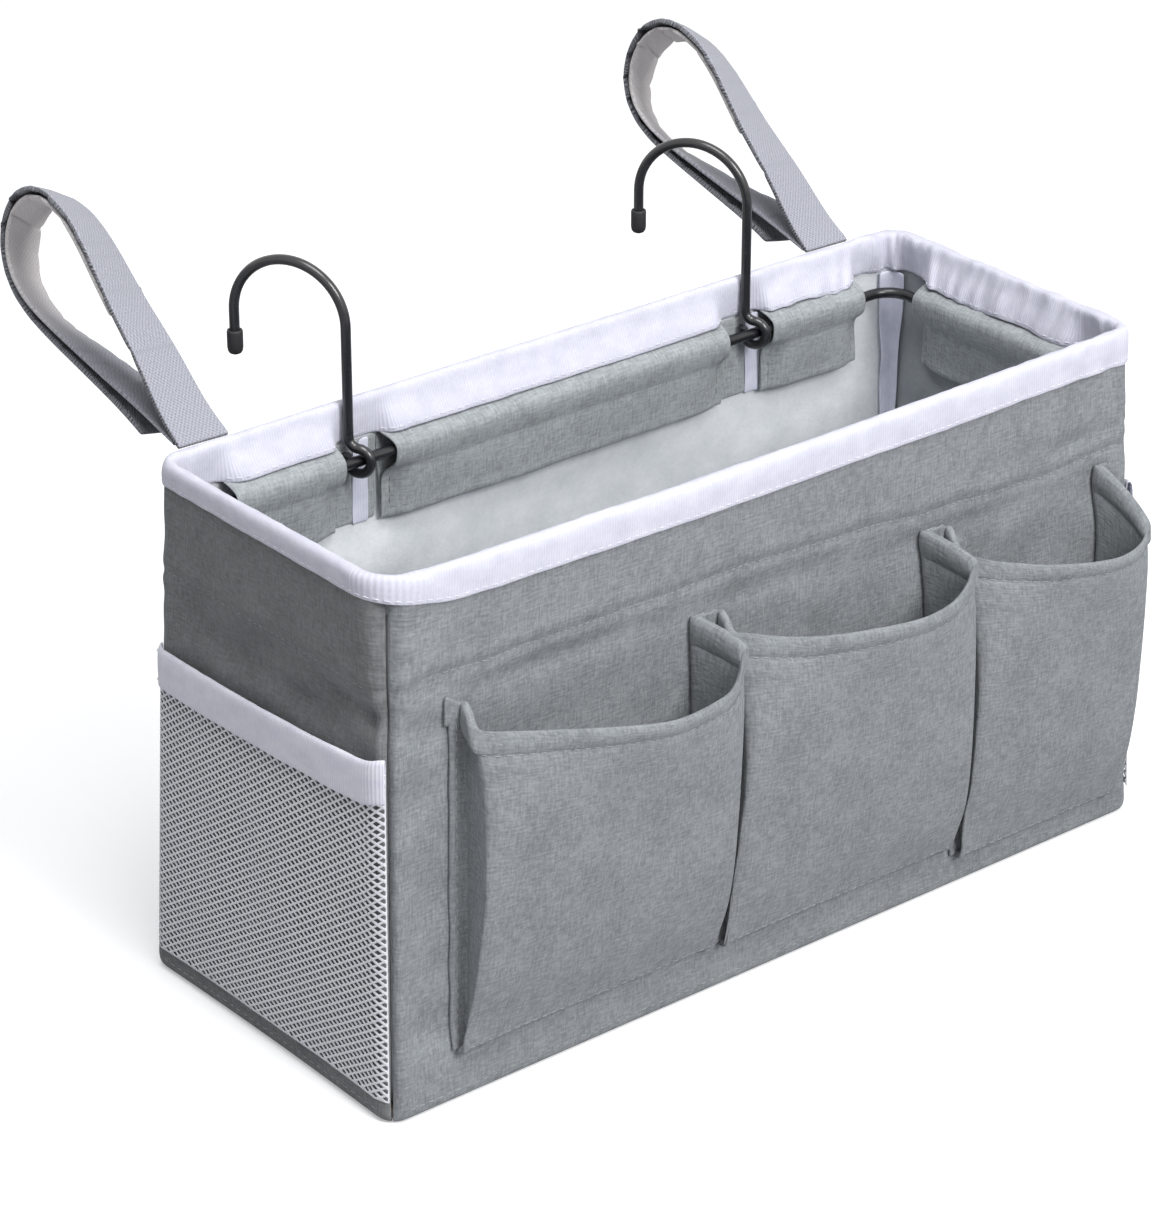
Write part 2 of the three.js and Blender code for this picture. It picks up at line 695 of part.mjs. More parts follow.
function pocketShell(seam) {
  const rise = pocketTop - pocketBottom;
  const hemLevel = 1 - pocketHemHeight / rise;
  const plain = pocketShares.map((row) => row[0]).filter((level) => level < hemLevel);
  const levels = [...plain, hemLevel, hemLevel + pocketHemStep / rise, 1];
  const seat = fitGap + pocketThickness / 2;
  const layer = pocketThickness + fitGap;
  const folded = seat + 2 * layer;
  const r = pocketFoldRadius;
  const seamX = (i, level) => (
    pocketSeamBottoms[i] + (pocketSeamTops[i] - pocketSeamBottoms[i]) * level
  );
  const ringAt = (level, index) => {
    const [, leftShare, rightShare, bellyShare] = pocketRowAt(level);
    const depthAt = (share) => folded + (pocketDepth - folded) * share;
    const leftDepth = depthAt(leftShare);
    const rightDepth = depthAt(rightShare);
    const belly = depthAt(bellyShare);
    const start = seamX(seam, level) + fitGap;
    const end = seamX(seam + 1, level) - fitGap;
    const leftFold = start + r + pocketFoldLean * leftShare;
    const rightFold = end - r / 2;
    const gussetAt = (depth) => seat + layer + (depth - seat - layer) * gussetBendShare;
    // Across, out from the panel, and how much of the sag it takes.
    const line = [
      [start, seat, 0],
      [start + pocketPleat, seat, 0],
      [start + pocketPleat + layer / 2, seat + layer / 2, 0],
      [start + pocketPleat, seat + layer, 0],
      [leftFold + r, gussetAt(leftDepth), 0],
      [leftFold, leftDepth - r * leftShare, 0],
    ];
    for (let i = 0; i <= pocketSteps; i += 1) {
      const share = i / pocketSteps;
      const depth = leftDepth + (rightDepth - leftDepth) * share;
      const bulge = Math.max(belly - (leftDepth + rightDepth) / 2, 0) * Math.sin(halfTurn * share);
      const hang = 1 - Math.abs(2 * share - 1) ** pocketHangPower;
      line.push([leftFold + r + (rightFold - leftFold - 2 * r) * share, depth + bulge, hang]);
    }
    line.push([rightFold, rightDepth - r * rightShare, 0]);
    line.push([rightFold - r, gussetAt(rightDepth), 0]);
    line.push([end - pocketPleat, seat + layer, 0]);
    line.push([end - pocketPleat - layer / 2, seat + layer / 2, 0]);
    line.push([end - pocketPleat, seat, 0]);
    line.push([end, seat, 0]);
    const half = (index > levels.length - 3 ? pocketHemThickness : pocketThickness) / 2;
    const sides = [[], []];
    line.forEach(([across, out, hang], i) => {
      const before = line[Math.max(i - 1, 0)];
      const after = line[Math.min(i + 1, line.length - 1)];
      const along = new THREE.Vector2(after[0] - before[0], after[1] - before[1]).normalize();
      const z = pocketBottom + rise * level - pocketSag * hang * level ** pocketHangPower;
      for (const [k, way] of [[0, half], [1, -half]]) {
        const depth = Math.max(out + along.x * way, fitGap);
        sides[k].push(new THREE.Vector3(across - along.y * way, -halfWidth(z) - depth, z));
      }
    });
    return [...sides[0], ...sides[1].reverse()];
  };
  const rings = levels.map(ringAt);
  return loft(rings, ribbonCap(rings[0]));
}

for (const [i, name] of ['left', 'middle', 'right'].entries()) {
  addPiece(`front_pocket_${name}`, pocketShell(i), canvasLook());
}

// Side mesh pockets. The net is a sheet of diamond gaps that runs round both corners of the side
// and is bellied out towards its top. A place on it is a share across, from the front seam at -1 to
// the back seam at 1, and a height. The whole top edge climbs towards the front corner.
const netTop = bandTop - bandHeight * netTopShare;

function bandRise(share) {
  const nearFront = Math.max(-share - bandRiseStartShare, 0) / (1 - bandRiseStartShare);
  return bandFrontRise * nearFront ** 2 - bandBackDrop * (share + 1) / 2;
}

function netPoint(side, share, height0, out) {
  const climb = (height0 - netBottom) / (netTop - netBottom);
  const z = height0 + bandRise(share) * climb;
  const standoff = fitGap + bandThickness + fitGap + netBulge * (1 - share ** 2) * climb + out;
  const straight = halfWidth(height0) - cornerRadius;
  const wrap = netWrapDegrees * halfTurn / 180;
  const run = Math.abs(share) * (straight + cornerRadius * wrap);
  const angle = Math.max(run - straight, 0) / cornerRadius;
  const reach = cornerRadius + standoff;
  const y = Math.min(run, straight) + reach * Math.sin(angle);
  const x = halfLength(z) - cornerRadius + reach * Math.cos(angle);
  return new THREE.Vector3(side * x, Math.sign(share) * y, z);
}

// Stations across the net: even cells on the flat of the side, and short ones round its corners.
const netShares = Array.from({ length: netCellsAcross + 2 * netCornerCells + 1 }, (_, i) => {
  const cell = i - netCornerCells;
  const corner = (1 - netCornerShare) / netCornerCells;
  if (cell < 0) return -1 + corner * i;
  if (cell > netCellsAcross) return netCornerShare + corner * (cell - netCellsAcross);
  return netCornerShare * (2 * cell / netCellsAcross - 1);
});

// The net is laid out in cells, each with one diamond gap on the flat of the side, below a plain
// strip for the band.
function sideNet(side) {
  const cellHeight = (netTop - bandHeight - netBottom) / netCellsUp;
  const strandShare = netStrand / baseWidth;
  const outer = [];
  const inner = [];
  const walls = [];
  const place = (share, z) => {
    outer.push(netPoint(side, share, z, netThickness));
    inner.push(netPoint(side, share, z, 0));
    return outer.length - 1;
  };
  const columns = netShares.length;
  for (let j = 0; j <= netCellsUp + 1; j += 1) {
    for (let i = 0; i < columns; i += 1) {
      place(netShares[i], j > netCellsUp ? netTop : netBottom + cellHeight * j);
    }
  }
  // Each loop of corners is one flat face outside, and the same turned over inside.
  const bothFaces = [];
  for (let j = 0; j <= netCellsUp; j += 1) {
    for (let i = 0; i < columns - 1; i += 1) {
      const a = j * columns + i;
      const b = a + 1;
      const c = b + columns;
      const d = a + columns;
      const onCorner = i < netCornerCells || i >= netCornerCells + netCellsAcross;
      if (j === netCellsUp || onCorner) {
        bothFaces.push([a, b, c], [a, c, d]);
      } else {
        const share = (netShares[i] + netShares[i + 1]) / 2;
        const cellShare = netShares[i + 1] - netShares[i];
        const z = netBottom + cellHeight * (j + 0.5);
        const left = place(share - cellShare / 2 + strandShare, z);
        const low = place(share, z - cellHeight / 2 + netStrand / 2);
        const right = place(share + cellShare / 2 - strandShare, z);
        const high = place(share, z + cellHeight / 2 - netStrand / 2);
        bothFaces.push([a, b, low], [a, low, left], [b, right, low], [b, c, right]);
        bothFaces.push([c, high, right], [c, d, high], [d, left, high], [d, a, left]);
        [[low, left], [right, low], [high, right], [left, high]].forEach((edge) => walls.push(edge));
      }
    }
  }
  const top = (netCellsUp + 1) * columns;
  for (let i = 0; i < columns - 1; i += 1) {
    walls.push([i, i + 1], [top + i + 1, top + i]);
  }
  for (let j = 0; j <= netCellsUp; j += 1) {
    walls.push([(j + 1) * columns, j * columns], [(j + 1) * columns - 1, (j + 2) * columns - 1]);
  }
  const behind = outer.length;
  const index = [];
  bothFaces.forEach(([a, b, c]) => index.push(a, b, c, c + behind, b + behind, a + behind));
  walls.forEach(([from, to]) => index.push(to, from, from + behind, to, from + behind, to + behind));
  const positions = [...outer, ...inner].flatMap((p) => [p.x, p.y, p.z]);
  const geometry = new THREE.BufferGeometry();
  geometry.setAttribute('position', new THREE.Float32BufferAttribute(positions, 3));
  geometry.setIndex(index);
  return faceOut(geometry);
}

// The band is folded over the top of the net.
function netBand(side) {
  const top = bandTop;
  const low = bandTop - bandHeight;
  const slot = top - bandThickness;
  const inner = -fitGap;
  const outer = netThickness + fitGap;
  const profile = [
    [inner - bandThickness, low],
    [inner - bandThickness, top],
    [outer + bandThickness, top],
    [outer + bandThickness, low],
    [outer, low],
    [outer, slot],
    [inner, slot],
    [inner, low],
  ];
  const stations = netShares.map((share) => (
    profile.map(([out, z]) => netPoint(side, share, z, out))
  ));
  return loft(stations, outlineCap(profile.map(([out, z]) => new THREE.Vector2(out, z))));
}

for (const [name, side] of [['left', -1], ['right', 1]]) {
  addPiece(`side_net_${name}`, sideNet(side), material(0xc9ccd2, 0.85));
  addPiece(`side_band_${name}`, netBand(side), tapeLook());
}

export default part;
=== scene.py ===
# The looks of the bedside caddy: a soft canvas box on a wire frame, with two wire hooks, two
# hook-and-loop straps, three front pockets and a mesh pocket at each side.
# Drawn in millimetres, with X along the caddy, -Y to its pockets and Z up, and placed in metres.
import bisect
import math
import bmesh
import bpy
from mathutils import Matrix, Vector, noise


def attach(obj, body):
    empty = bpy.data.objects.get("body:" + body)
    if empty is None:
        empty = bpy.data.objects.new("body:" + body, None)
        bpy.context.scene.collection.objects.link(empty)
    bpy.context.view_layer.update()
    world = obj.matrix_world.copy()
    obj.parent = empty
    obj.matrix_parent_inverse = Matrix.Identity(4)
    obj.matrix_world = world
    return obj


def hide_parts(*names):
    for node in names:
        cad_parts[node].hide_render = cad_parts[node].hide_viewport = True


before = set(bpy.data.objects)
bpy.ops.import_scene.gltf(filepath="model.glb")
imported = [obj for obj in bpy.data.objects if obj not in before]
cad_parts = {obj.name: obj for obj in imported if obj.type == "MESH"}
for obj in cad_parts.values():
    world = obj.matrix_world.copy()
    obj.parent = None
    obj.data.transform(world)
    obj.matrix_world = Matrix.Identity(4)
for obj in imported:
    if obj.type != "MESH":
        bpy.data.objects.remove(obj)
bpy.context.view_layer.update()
MM = 0.001

# The view: a long lens from the front left and above, as the caddy was photographed.
# It stands on a plain white sweep, which keeps its soft shadow.
VIEW_FROM = (-878.9, -1033.9, 782.3)
VIEW_ALONG = (0.566, 0.695, -0.4435)
VIEW_REACH = 4300
PICTURE_TALL = 1216
view = bpy.data.cameras.new("view")
view.sensor_fit = "VERTICAL"
view.sensor_height = 36
view.lens = VIEW_REACH * 36 / PICTURE_TALL
view.clip_end = 20
camera = bpy.data.objects.new("view", view)
camera.location = Vector(VIEW_FROM) * MM
camera.rotation_euler = Vector(VIEW_ALONG).to_track_quat("-Z", "Y").to_euler()
bpy.context.scene.collection.objects.link(camera)
bpy.context.scene.camera = camera
bpy.context.scene.view_settings.view_transform = "Standard"


def feed(tree, term, socket):
    """Gives a node's socket a plain value, or links another node's socket to it."""
    if hasattr(term, "links"):
        tree.links.new(term, socket)
    else:
        socket.default_value = term


def node_of(tree, kind, **values):
    """A shader node with its settings, and its sockets fed by name."""
    node = tree.nodes.new(kind)
    for key, value in values.items():
        if hasattr(node, key):
            setattr(node, key, value)
        else:
            feed(tree, value, node.inputs[key.replace("_", " ")])
    return node


def figure(tree, operation, *terms):
    """A Math node on sockets and numbers."""
    node = node_of(tree, "ShaderNodeMath", operation=operation)
    for term, socket in zip(terms, node.inputs):
        feed(tree, term, socket)
    return node.outputs[0]


def blend_colours(tree, amount, low, high):
    mix = node_of(tree, "ShaderNodeMix", data_type="RGBA")
    for term, socket in ((amount, 0), (low, 6), (high, 7)):
        feed(tree, term, mix.inputs[socket])
    return mix.outputs[2]


def new_look(name, **values):
    """A material with a Principled surface, and plain numbers on its own sockets."""
    look = bpy.data.materials.new(name)
    look.use_nodes = True
    surface = look.node_tree.nodes["Principled BSDF"]
    for key, value in values.items():
        surface.inputs[key.replace("_", " ")].default_value = value
    return look, look.node_tree, surface


world = bpy.data.worlds.new("studio")
bpy.context.scene.world = world
world.use_nodes = True
sky = world.node_tree
sky.nodes.clear()
fill = node_of(sky, "ShaderNodeBackground", Color=(0.95, 0.975, 1, 1), Strength=0.27)
plain = node_of(sky, "ShaderNodeBackground", Color=(1, 1, 1, 1), Strength=1.0)
path = sky.nodes.new("ShaderNodeLightPath")
seen = figure(sky, "MAXIMUM", path.outputs["Is Camera Ray"], path.outputs["Is Glossy Ray"])
sky_mix = sky.nodes.new("ShaderNodeMixShader")
for term, socket in zip((seen, fill.outputs[0], plain.outputs[0]), sky_mix.inputs):
    feed(sky, term, socket)
node_of(sky, "ShaderNodeOutputWorld", Surface=sky_mix.outputs[0])

floor_look, tree, surface = new_look("floor_white", Roughness=0.9, Emission_Color=(1, 1, 1, 1))
camera_ray = tree.nodes.new("ShaderNodeLightPath").outputs["Is Camera Ray"]
floor_tone = blend_colours(tree, camera_ray, (0.5, 0.5, 0.51, 1), (0.93, 0.93, 0.94, 1))
feed(tree, floor_tone, surface.inputs["Base Color"])
FLOOR_GLOW = 0.36
feed(tree, figure(tree, "MULTIPLY", camera_ray, FLOOR_GLOW), surface.inputs["Emission Strength"])
shape = bmesh.new()
bmesh.ops.create_grid(shape, x_segments=8, y_segments=8, size=6)
floor_mesh = bpy.data.meshes.new("floor")
shape.to_mesh(floor_mesh)
shape.free()
floor_mesh.materials.append(floor_look)
floor = bpy.data.objects.new("floor", floor_mesh)
bpy.context.scene.collection.objects.link(floor)


def studio_lamp(name, place, size, watts):
    """A round soft lamp at a place in metres, aimed at the middle of the caddy."""
    lamp = bpy.data.lights.new(name, "AREA")
    lamp.shape = "DISK"
    lamp.size = size
    lamp.energy = watts
    holder = bpy.data.objects.new(name, lamp)
    holder.location = place
    aim = Vector((0, 0, 0.1)) - Vector(place)
    holder.rotation_euler = aim.to_track_quat("-Z", "Y").to_euler()
    bpy.context.scene.collection.objects.link(holder)


studio_lamp("key_lamp", (0.2, -1.8, 1.5), size=1.0, watts=33)
studio_lamp("top_lamp", (-0.3, -0.6, 2.1), size=1.3, watts=30)

# Canvas walls: four panels of grey linen-look canvas, each turned half round its two corners,
# where they are sewn to each other along sunk seams. They hang from the rim and are topstitched
# below it.
HEIGHT = 195
LONG_SIDE = 332
SHORT_SIDE = 124
FOOT_LENGTH = 348
FOOT_WIDTH = 140
TAPER = 14
CORNER = 8
# How round the corners are at the rim: front right, back right, back left, front left.
RIM_CORNERS = (9, 9, 9, 16)
CORNER_RUN = CORNER * math.pi / 2
AROUND = 2 * (LONG_SIDE + SHORT_SIDE + 2 * CORNER_RUN)
# The seams, from the front left one to itself again, counted round the wall in millimetres.
SEAMS = [-CORNER_RUN / 2]
for run in (LONG_SIDE, SHORT_SIDE, LONG_SIDE, SHORT_SIDE):
    SEAMS.append(SEAMS[-1] + run + CORNER_RUN)
FRONT, RIGHT, BACK, LEFT = [(a + b) / 2 for a, b in zip(SEAMS, SEAMS[1:])]
FOOT_ROUND = 3.5
CANVAS = 1.3
FRONT_BOW = 2.4
END_BOW = 0.8


def half_length(z):
    return (FOOT_LENGTH - TAPER * z / HEIGHT) / 2


def half_width(z):
    return (FOOT_WIDTH - TAPER * z / HEIGHT) / 2


def ease(low, high, value):
    """0 below low, 1 above high, and smooth between."""
    share = min(max((value - low) / (high - low), 0), 1)
    return share * share * (3 - 2 * share)


def hump(off):
    """A soft bump: 1 at the middle, and nearly 0 at two reaches from it."""
    return math.exp(-(off ** 2))


def ripple(x, y, z, seed=0.0):
    return noise.noise(Vector((x, y, z + seed)))


# Each dent: its place round the wall, its height, its reach along and up, and its depth.
DENTS = (
    (AROUND - 13, 144, 5, 5, 3.0), (AROUND - 30, 146, 20, 6, 4.0), (AROUND - 48, 137, 22, 5, 4.2),
    (AROUND - 80, 149, 26, 5, 2.6), (AROUND - 96, 140, 22, 6, 5.0),
    (AROUND - 118, 150, 12, 8, 1.8), (AROUND - 18, 131, 8, 5, 1.8), (4, 139, 9, 6, 2.2),
    (9, 30, 9, 8, 2.4), (6, 116, 8, 10, 1.6), (12, 80, 7, 18, 1.8), (2, 22, 5, 5, -1.0),
    (14, 52, 6, 7, 1.2), (60, 149, 34, 4, 1.2), (8, 154, 9, 4, 1.4), (154, 147, 30, 5, 1.2),
    (236, 142, 40, 5, 1.2), (322, 138, 7, 9, 2.4), (312, 158, 14, 4, 1.4), (438, 139, 20, 8, 3.0),
    (388, 136, 22, 7, 3.0), (410, 60, 30, 20, 1.5), (528, 120, 34, 14, 2.6),
    (648, 70, 60, 20, 2.8), (738, 130, 30, 14, 2.6), (608, 30, 40, 8, 1.6),
)


def apart(a, b):
    """How far two places are from each other round the wall."""
    off = abs(a - b) % AROUND
    return min(off, AROUND - off)


def bow(along, z):
    """How far a side bows: the front outwards near its rim, and the ends inwards at their foot."""
    share = (along - FRONT) / LONG_SIDE + 0.5
    if 0 < share < 1:
        return FRONT_BOW * math.sin(math.pi * share ** 0.75) * ease(125, 186, z)
    for middle in (LEFT, RIGHT):
        share = (along - middle) / SHORT_SIDE + 0.5
        if 0 < share < 1:
            return -END_BOW * math.sin(math.pi * share) * (1 - ease(0, 45, z))
    return 0


def slack(along, x, y, z):
    """How far the cloth gives inwards: taut at the rim and the floor, soft between them."""
    free = ease(5, 34, z) * (1 - ease(149, 170, z))
    free *= 1 - 0.75 * hump(apart(along, SEAMS[3]) / 14)
    broad = 1.1 * ripple(x * 0.018, y * 0.022, z * 0.026, 4.1)
    fine = 0.6 * ripple(x * 0.06, y * 0.06, z * 0.07)
    give = free * (0.5 + broad + fine)
    for at, level, reach, tall, depth in DENTS:
        off = apart(along, at) / reach
        if off < 3:
            give += depth * hump(off) * hump((z - level) / tall)
    return max(give, -0.6) * ease(1, 12, z) * (1 - ease(164, 176, z)) - bow(along, z)


def wall(along, z, out=0.0, soft=1.0):
    """A place on the box's wall, by the run round it from the front left corner, and the way out.
    out is how far it lies outside the canvas's face, and soft how much it follows the dents."""
    open_up = ease(110, HEIGHT, z)
    rounds = [max(CORNER + (rim - CORNER) * open_up + out, 2.0) for rim in RIM_CORNERS]
    length = half_length(z) + out
    width = half_width(z) + out
    signs = ((1, -1), (1, 1), (-1, 1), (-1, -1))
    centres = [Vector((u * (length - r), v * (width - r), z)) for (u, v), r in zip(signs, rounds)]
    at = along % AROUND
    for side in range(4):
        run = (LONG_SIDE, SHORT_SIDE)[side % 2]
        turned = (side - 1) * math.pi / 2 + min(max(at - run, 0) / CORNER, math.pi / 2)
        way = Vector((math.cos(turned), math.sin(turned), 0))
        place = centres[side] + way * rounds[side]
        if at <= run:
            place = (centres[side - 1] + way * rounds[side - 1]).lerp(place, at / run)
        at -= run + CORNER_RUN
        if at <= 0:
            break
    return place - way * slack(along % AROUND, place.x, place.y, z) * soft, way


def spread(start, end, step):
    """Even stations from start to end, about a step apart."""
    count = max(int(round(abs(end - start) / step)), 1)
    return [start + (end - start) * i / count for i in range(count + 1)]


def add_piece(name, mesh, looks, body="caddy_body", slot=None, replaces=()):
    """A finished mesh as a piece that rides on a body and stands for CAD nodes."""
    piece = bpy.data.objects.new(name, mesh)
    bpy.context.scene.collection.objects.link(piece)
    for look in looks:
        mesh.materials.append(look)
    mesh.polygons.foreach_set("use_smooth", [True] * len(mesh.polygons))
    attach(piece, body)
    if replaces:
        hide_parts(*replaces)
    return piece


def lay_cloth(name, across, up, place, looks, thick, join=False, held=None, rests_on=(), **about):
    """A sheet of cloth: a grid by its own measure, bent to its place, then given its thickness.
    Its UV map is the flat cloth in metres, so that weave and ribs keep their size. join closes a
    sheet that runs all round, and held is not used."""
    shape = bmesh.new()
    flat = shape.loops.layers.uv.new("flat_cloth")
    columns = len(across) - 1
    rows = len(up) - 1
    bmesh.ops.create_grid(shape, x_segments=columns, y_segments=rows, size=0.5)
    for vert in shape.verts:
        s = across[round((vert.co.x + 0.5) * columns)]
        t = up[round((vert.co.y + 0.5) * rows)]
        vert.co = Vector((s, t, 0))
    for face in shape.faces:
        for loop in face.loops:
            loop[flat].uv = (loop.vert.co.x * MM, loop.vert.co.y * MM)
    for vert in shape.verts:
        vert.co = Vector(place(vert.co.x, vert.co.y)) * MM
    if join:
        bmesh.ops.remove_doubles(shape, verts=shape.verts, dist=0.01 * MM)
    mesh = bpy.data.meshes.new(name)
    shape.to_mesh(mesh)
    shape.free()
    piece = add_piece(name, mesh, looks, **about)
    body = piece.modifiers.new("thickness", "SOLIDIFY")
    body.thickness = thick * MM
    body.offset = -1
    body.use_even_offset = False
    if len(looks) > 1:
        body.material_offset = 1
        body.material_offset_rim = 1
    soften = piece.modifiers.new("soften", "SUBSURF")
    soften.levels = 1
    soften.render_levels = 1
    return piece


def value_group(name, ins, outs):
    """An empty shader node group with number, colour and direction sockets."""
    group = bpy.data.node_groups.new(name, "ShaderNodeTree")
    kinds = {"f": "NodeSocketFloat", "c": "NodeSocketColor", "v": "NodeSocketVector"}
    for label, kind in ins:
        group.interface.new_socket(label, in_out="INPUT", socket_type=kinds[kind])
    for label, kind in outs:
        group.interface.new_socket(label, in_out="OUTPUT", socket_type=kinds[kind])
    return group, group.nodes.new("NodeGroupInput"), group.nodes.new("NodeGroupOutput")


def streaks(tree, where, across, up, detail=2.0, rough=0.55):
    """Noise drawn out to so many cells per metre across and up the cloth."""
    scale = node_of(tree, "ShaderNodeVectorMath", operation="MULTIPLY")
    feed(tree, where, scale.inputs[0])
    feed(tree, (across, up, (across + up) / 2), scale.inputs[1])
    grain = node_of(tree, "ShaderNodeTexNoise", Vector=scale.outputs[0], Scale=1.0,
                    Detail=detail, Roughness=rough)
    return grain.outputs["Fac"]


def clamped(tree, value):
    return node_of(tree, "ShaderNodeClamp", Value=value).outputs[0]


def linen_group():
    """Plain-woven linen: slubs both ways, soft blotches and a few pale flecks."""
    tree, ins, outs = value_group(
        "linen", (("Cloth", "v"), ("Shade", "c"), ("Pale", "c")),
        (("Colour", "c"), ("Relief", "f")),
    )
    cloth = ins.outputs["Cloth"]
    weft = streaks(tree, cloth, 210, 1150)
    warp = streaks(tree, cloth, 1150, 190)
    grain = streaks(tree, cloth, 1000, 900, 3.0, 0.7)
    blotch = streaks(tree, cloth, 60, 45, 5.0, 0.65)
    fleck = figure(tree, "GREATER_THAN", streaks(tree, cloth, 700, 420, 0.0), 0.755)
    weave = figure(tree, "ADD", weft, warp)
    tone = figure(tree, "MULTIPLY_ADD", weave, 1.7, -1.2)
    for patch in (grain, blotch):
        tone = figure(tree, "ADD", tone, figure(tree, "MULTIPLY_ADD", patch, 1.3, -0.65))
    tone = figure(tree, "ADD", tone, figure(tree, "MULTIPLY", fleck, 0.55))
    shade, pale = ins.outputs["Shade"], ins.outputs["Pale"]
    feed(tree, blend_colours(tree, clamped(tree, tone), shade, pale), outs.inputs["Colour"])
    feed(tree, figure(tree, "ADD", weave, grain), outs.inputs["Relief"])
    return tree


LINEN = linen_group()


def finish(look, colour, height, depth, strength):
    """Gives a material its colour, and bump of so many metres from a height of 0 to 1."""
    tree = look.node_tree
    surface = tree.nodes["Principled BSDF"]
    feed(tree, colour, surface.inputs["Base Color"])
    bump = node_of(tree, "ShaderNodeBump", Height=height, Strength=strength, Distance=depth)
    feed(tree, bump.outputs[0], surface.inputs["Normal"])
    return look


def cloth_measure(tree):
    return node_of(tree, "ShaderNodeUVMap", uv_map="flat_cloth").outputs[0]


def canvas_look(name, shade, pale):
    look, tree, _ = new_look(name, Roughness=0.93, Sheen_Weight=0.08)
    linen = node_of(tree, "ShaderNodeGroup", node_tree=LINEN)
    for term, socket in zip((cloth_measure(tree), shade, pale), linen.inputs):
        feed(tree, term, socket)
    return finish(look, linen.outputs["Colour"], linen.outputs["Relief"], 0.00022, 0.6)


canvas = canvas_look("grey_canvas", (0.185, 0.199, 0.213, 1), (0.31, 0.328, 0.345, 1))
# The end panels get a darker copy of the same grey canvas: painted shade for the end walls.
side_canvas_painted_shade = canvas_look("side_canvas_painted_shade", (0.142, 0.148, 0.152, 1), (0.232, 0.24, 0.246, 1))
TOPSTITCH = 155
# How the topstitching under the rim drops along the front: shares of its length, and levels.
STITCH_FALL = ((0, 157.5), (0.42, 157.5), (0.61, 155), (0.7, 151.8), (0.88, 149.2), (1.02, 151))


def stitch_level(along):
    share = (along - FRONT) / LONG_SIDE + 0.5
    level = TOPSTITCH
    for (a, low), (b, high) in zip(STITCH_FALL, STITCH_FALL[1:]):
        if a <= share <= b:
            level = low + (high - low) * ease(a, b, share)
    return level + 0.5 * ripple(along * 0.05, 3, 0)


def wall_panel(name, start, end, node, look):
    """One panel, tucked in at the foot, sunk at its two seams and pinched by the topstitching."""
    def place(along, z):
        tuck = FOOT_ROUND - math.sqrt(max(FOOT_ROUND ** 2 - max(FOOT_ROUND - z, 0) ** 2, 0))
        seam = min(abs(along - start), abs(along - end))
        pull = 1 + 1.4 * ripple(z * 0.11, along * 0.01, 5)
        sunk = 1.2 * hump(seam / 1.4) - 0.6 * pull * hump((seam - 3.6) / 1.7)
        above = z - stitch_level(along)
        pinch = 0.35 * hump(above / 1.3)
        swell = 0.4 * hump((above - 4) / 2.8) + 0.2 * hump((above + 3.5) / 2.5)
        pucker = 0.22 * ripple(along * 0.3, z * 0.05, 6) * hump(above / 7)
        return wall(along, z, swell + pucker - tuck - sunk * ease(0, 8, z) - pinch)[0]

    edge = [0.15, 0.9, 1.7, 2.7, 4.0, 5.4]
    across = [start + d for d in edge] + spread(start + 7.4, end - 7.4, 2.8)
    across += [end - d for d in edge[::-1]]
    up = [0.1, 0.8, 1.8, 3.2, 5.5] + spread(8, 142, 2.9)
    up += spread(143.2, 164.4, 1.2) + spread(166.5, 194, 3)
    lay_cloth(name, across, up, place, [look], CANVAS, slot="canvas", replaces=[node],
              held="stretched", rests_on=["rim_ribbon_tape"])


PANELS = ("front", "right_side", "back", "left_side")
for k, panel in enumerate(PANELS):
    look = side_canvas_painted_shade if panel.endswith("side") else canvas
    wall_panel(f"{panel}_canvas", SEAMS[k], SEAMS[k + 1], f"{panel}_panel", look)


def sew(name, path, look, slot, length, gap, width):
    """A row of stitches along a path of places and ways out, each a small slim bead of thread."""
    runs = [0]
    for (a, _), (b, _) in zip(path, path[1:]):
        runs.append(runs[-1] + (b - a).length)
    shape = bmesh.new()
    count = int(runs[-1] // (length + gap))
    for i in range(count):
        at = (i + 0.5) * runs[-1] / count
        k = min(max(bisect.bisect(runs, at) - 1, 0), len(path) - 2)
        share = (at - runs[k]) / max(runs[k + 1] - runs[k], 1e-6)
        (a, out_a), (b, out_b) = path[k], path[k + 1]
        along = (b - a).normalized()
        out = out_a + (out_b - out_a) * share
        out = (out - along * out.dot(along)).normalized()
        lean = 0.06 * ripple(at * 0.7, k, 0)
        along = (along + out.cross(along) * lean).normalized()
        side = out.cross(along)
        centre = (a + (b - a) * share + out * width * 0.12) * MM
        turn = Matrix((side * width / 2, out * width / 2, along * length / 2)).transposed() * MM
        bead = Matrix.Translation(centre) @ turn.to_4x4()
        bmesh.ops.create_uvsphere(shape, u_segments=6, v_segments=4, radius=1, matrix=bead)
    bmesh.ops.recalc_face_normals(shape, faces=shape.faces)
    mesh = bpy.data.meshes.new(name)
    shape.to_mesh(mesh)
    shape.free()
    add_piece(name, mesh, [look], slot=slot)


def object_place(tree):
    return tree.nodes.new("ShaderNodeTexCoord").outputs["Object"]


def shaded(colour, share):
    """A colour made darker or paler by a share."""
    return tuple(c * share for c in colour[:3]) + (1,)


def thread_look(name, colour):
    look, tree, _ = new_look(name, Roughness=0.7, Sheen_Weight=0.2)
    twist = streaks(tree, object_place(tree), 2500, 2500, 1.0)
    tone = blend_colours(tree, twist, shaded(colour, 0.7), colour)
    return finish(look, tone, twist, 0.0001, 0.5)


grey_thread = thread_look("grey_thread", (0.39, 0.41, 0.42, 1))


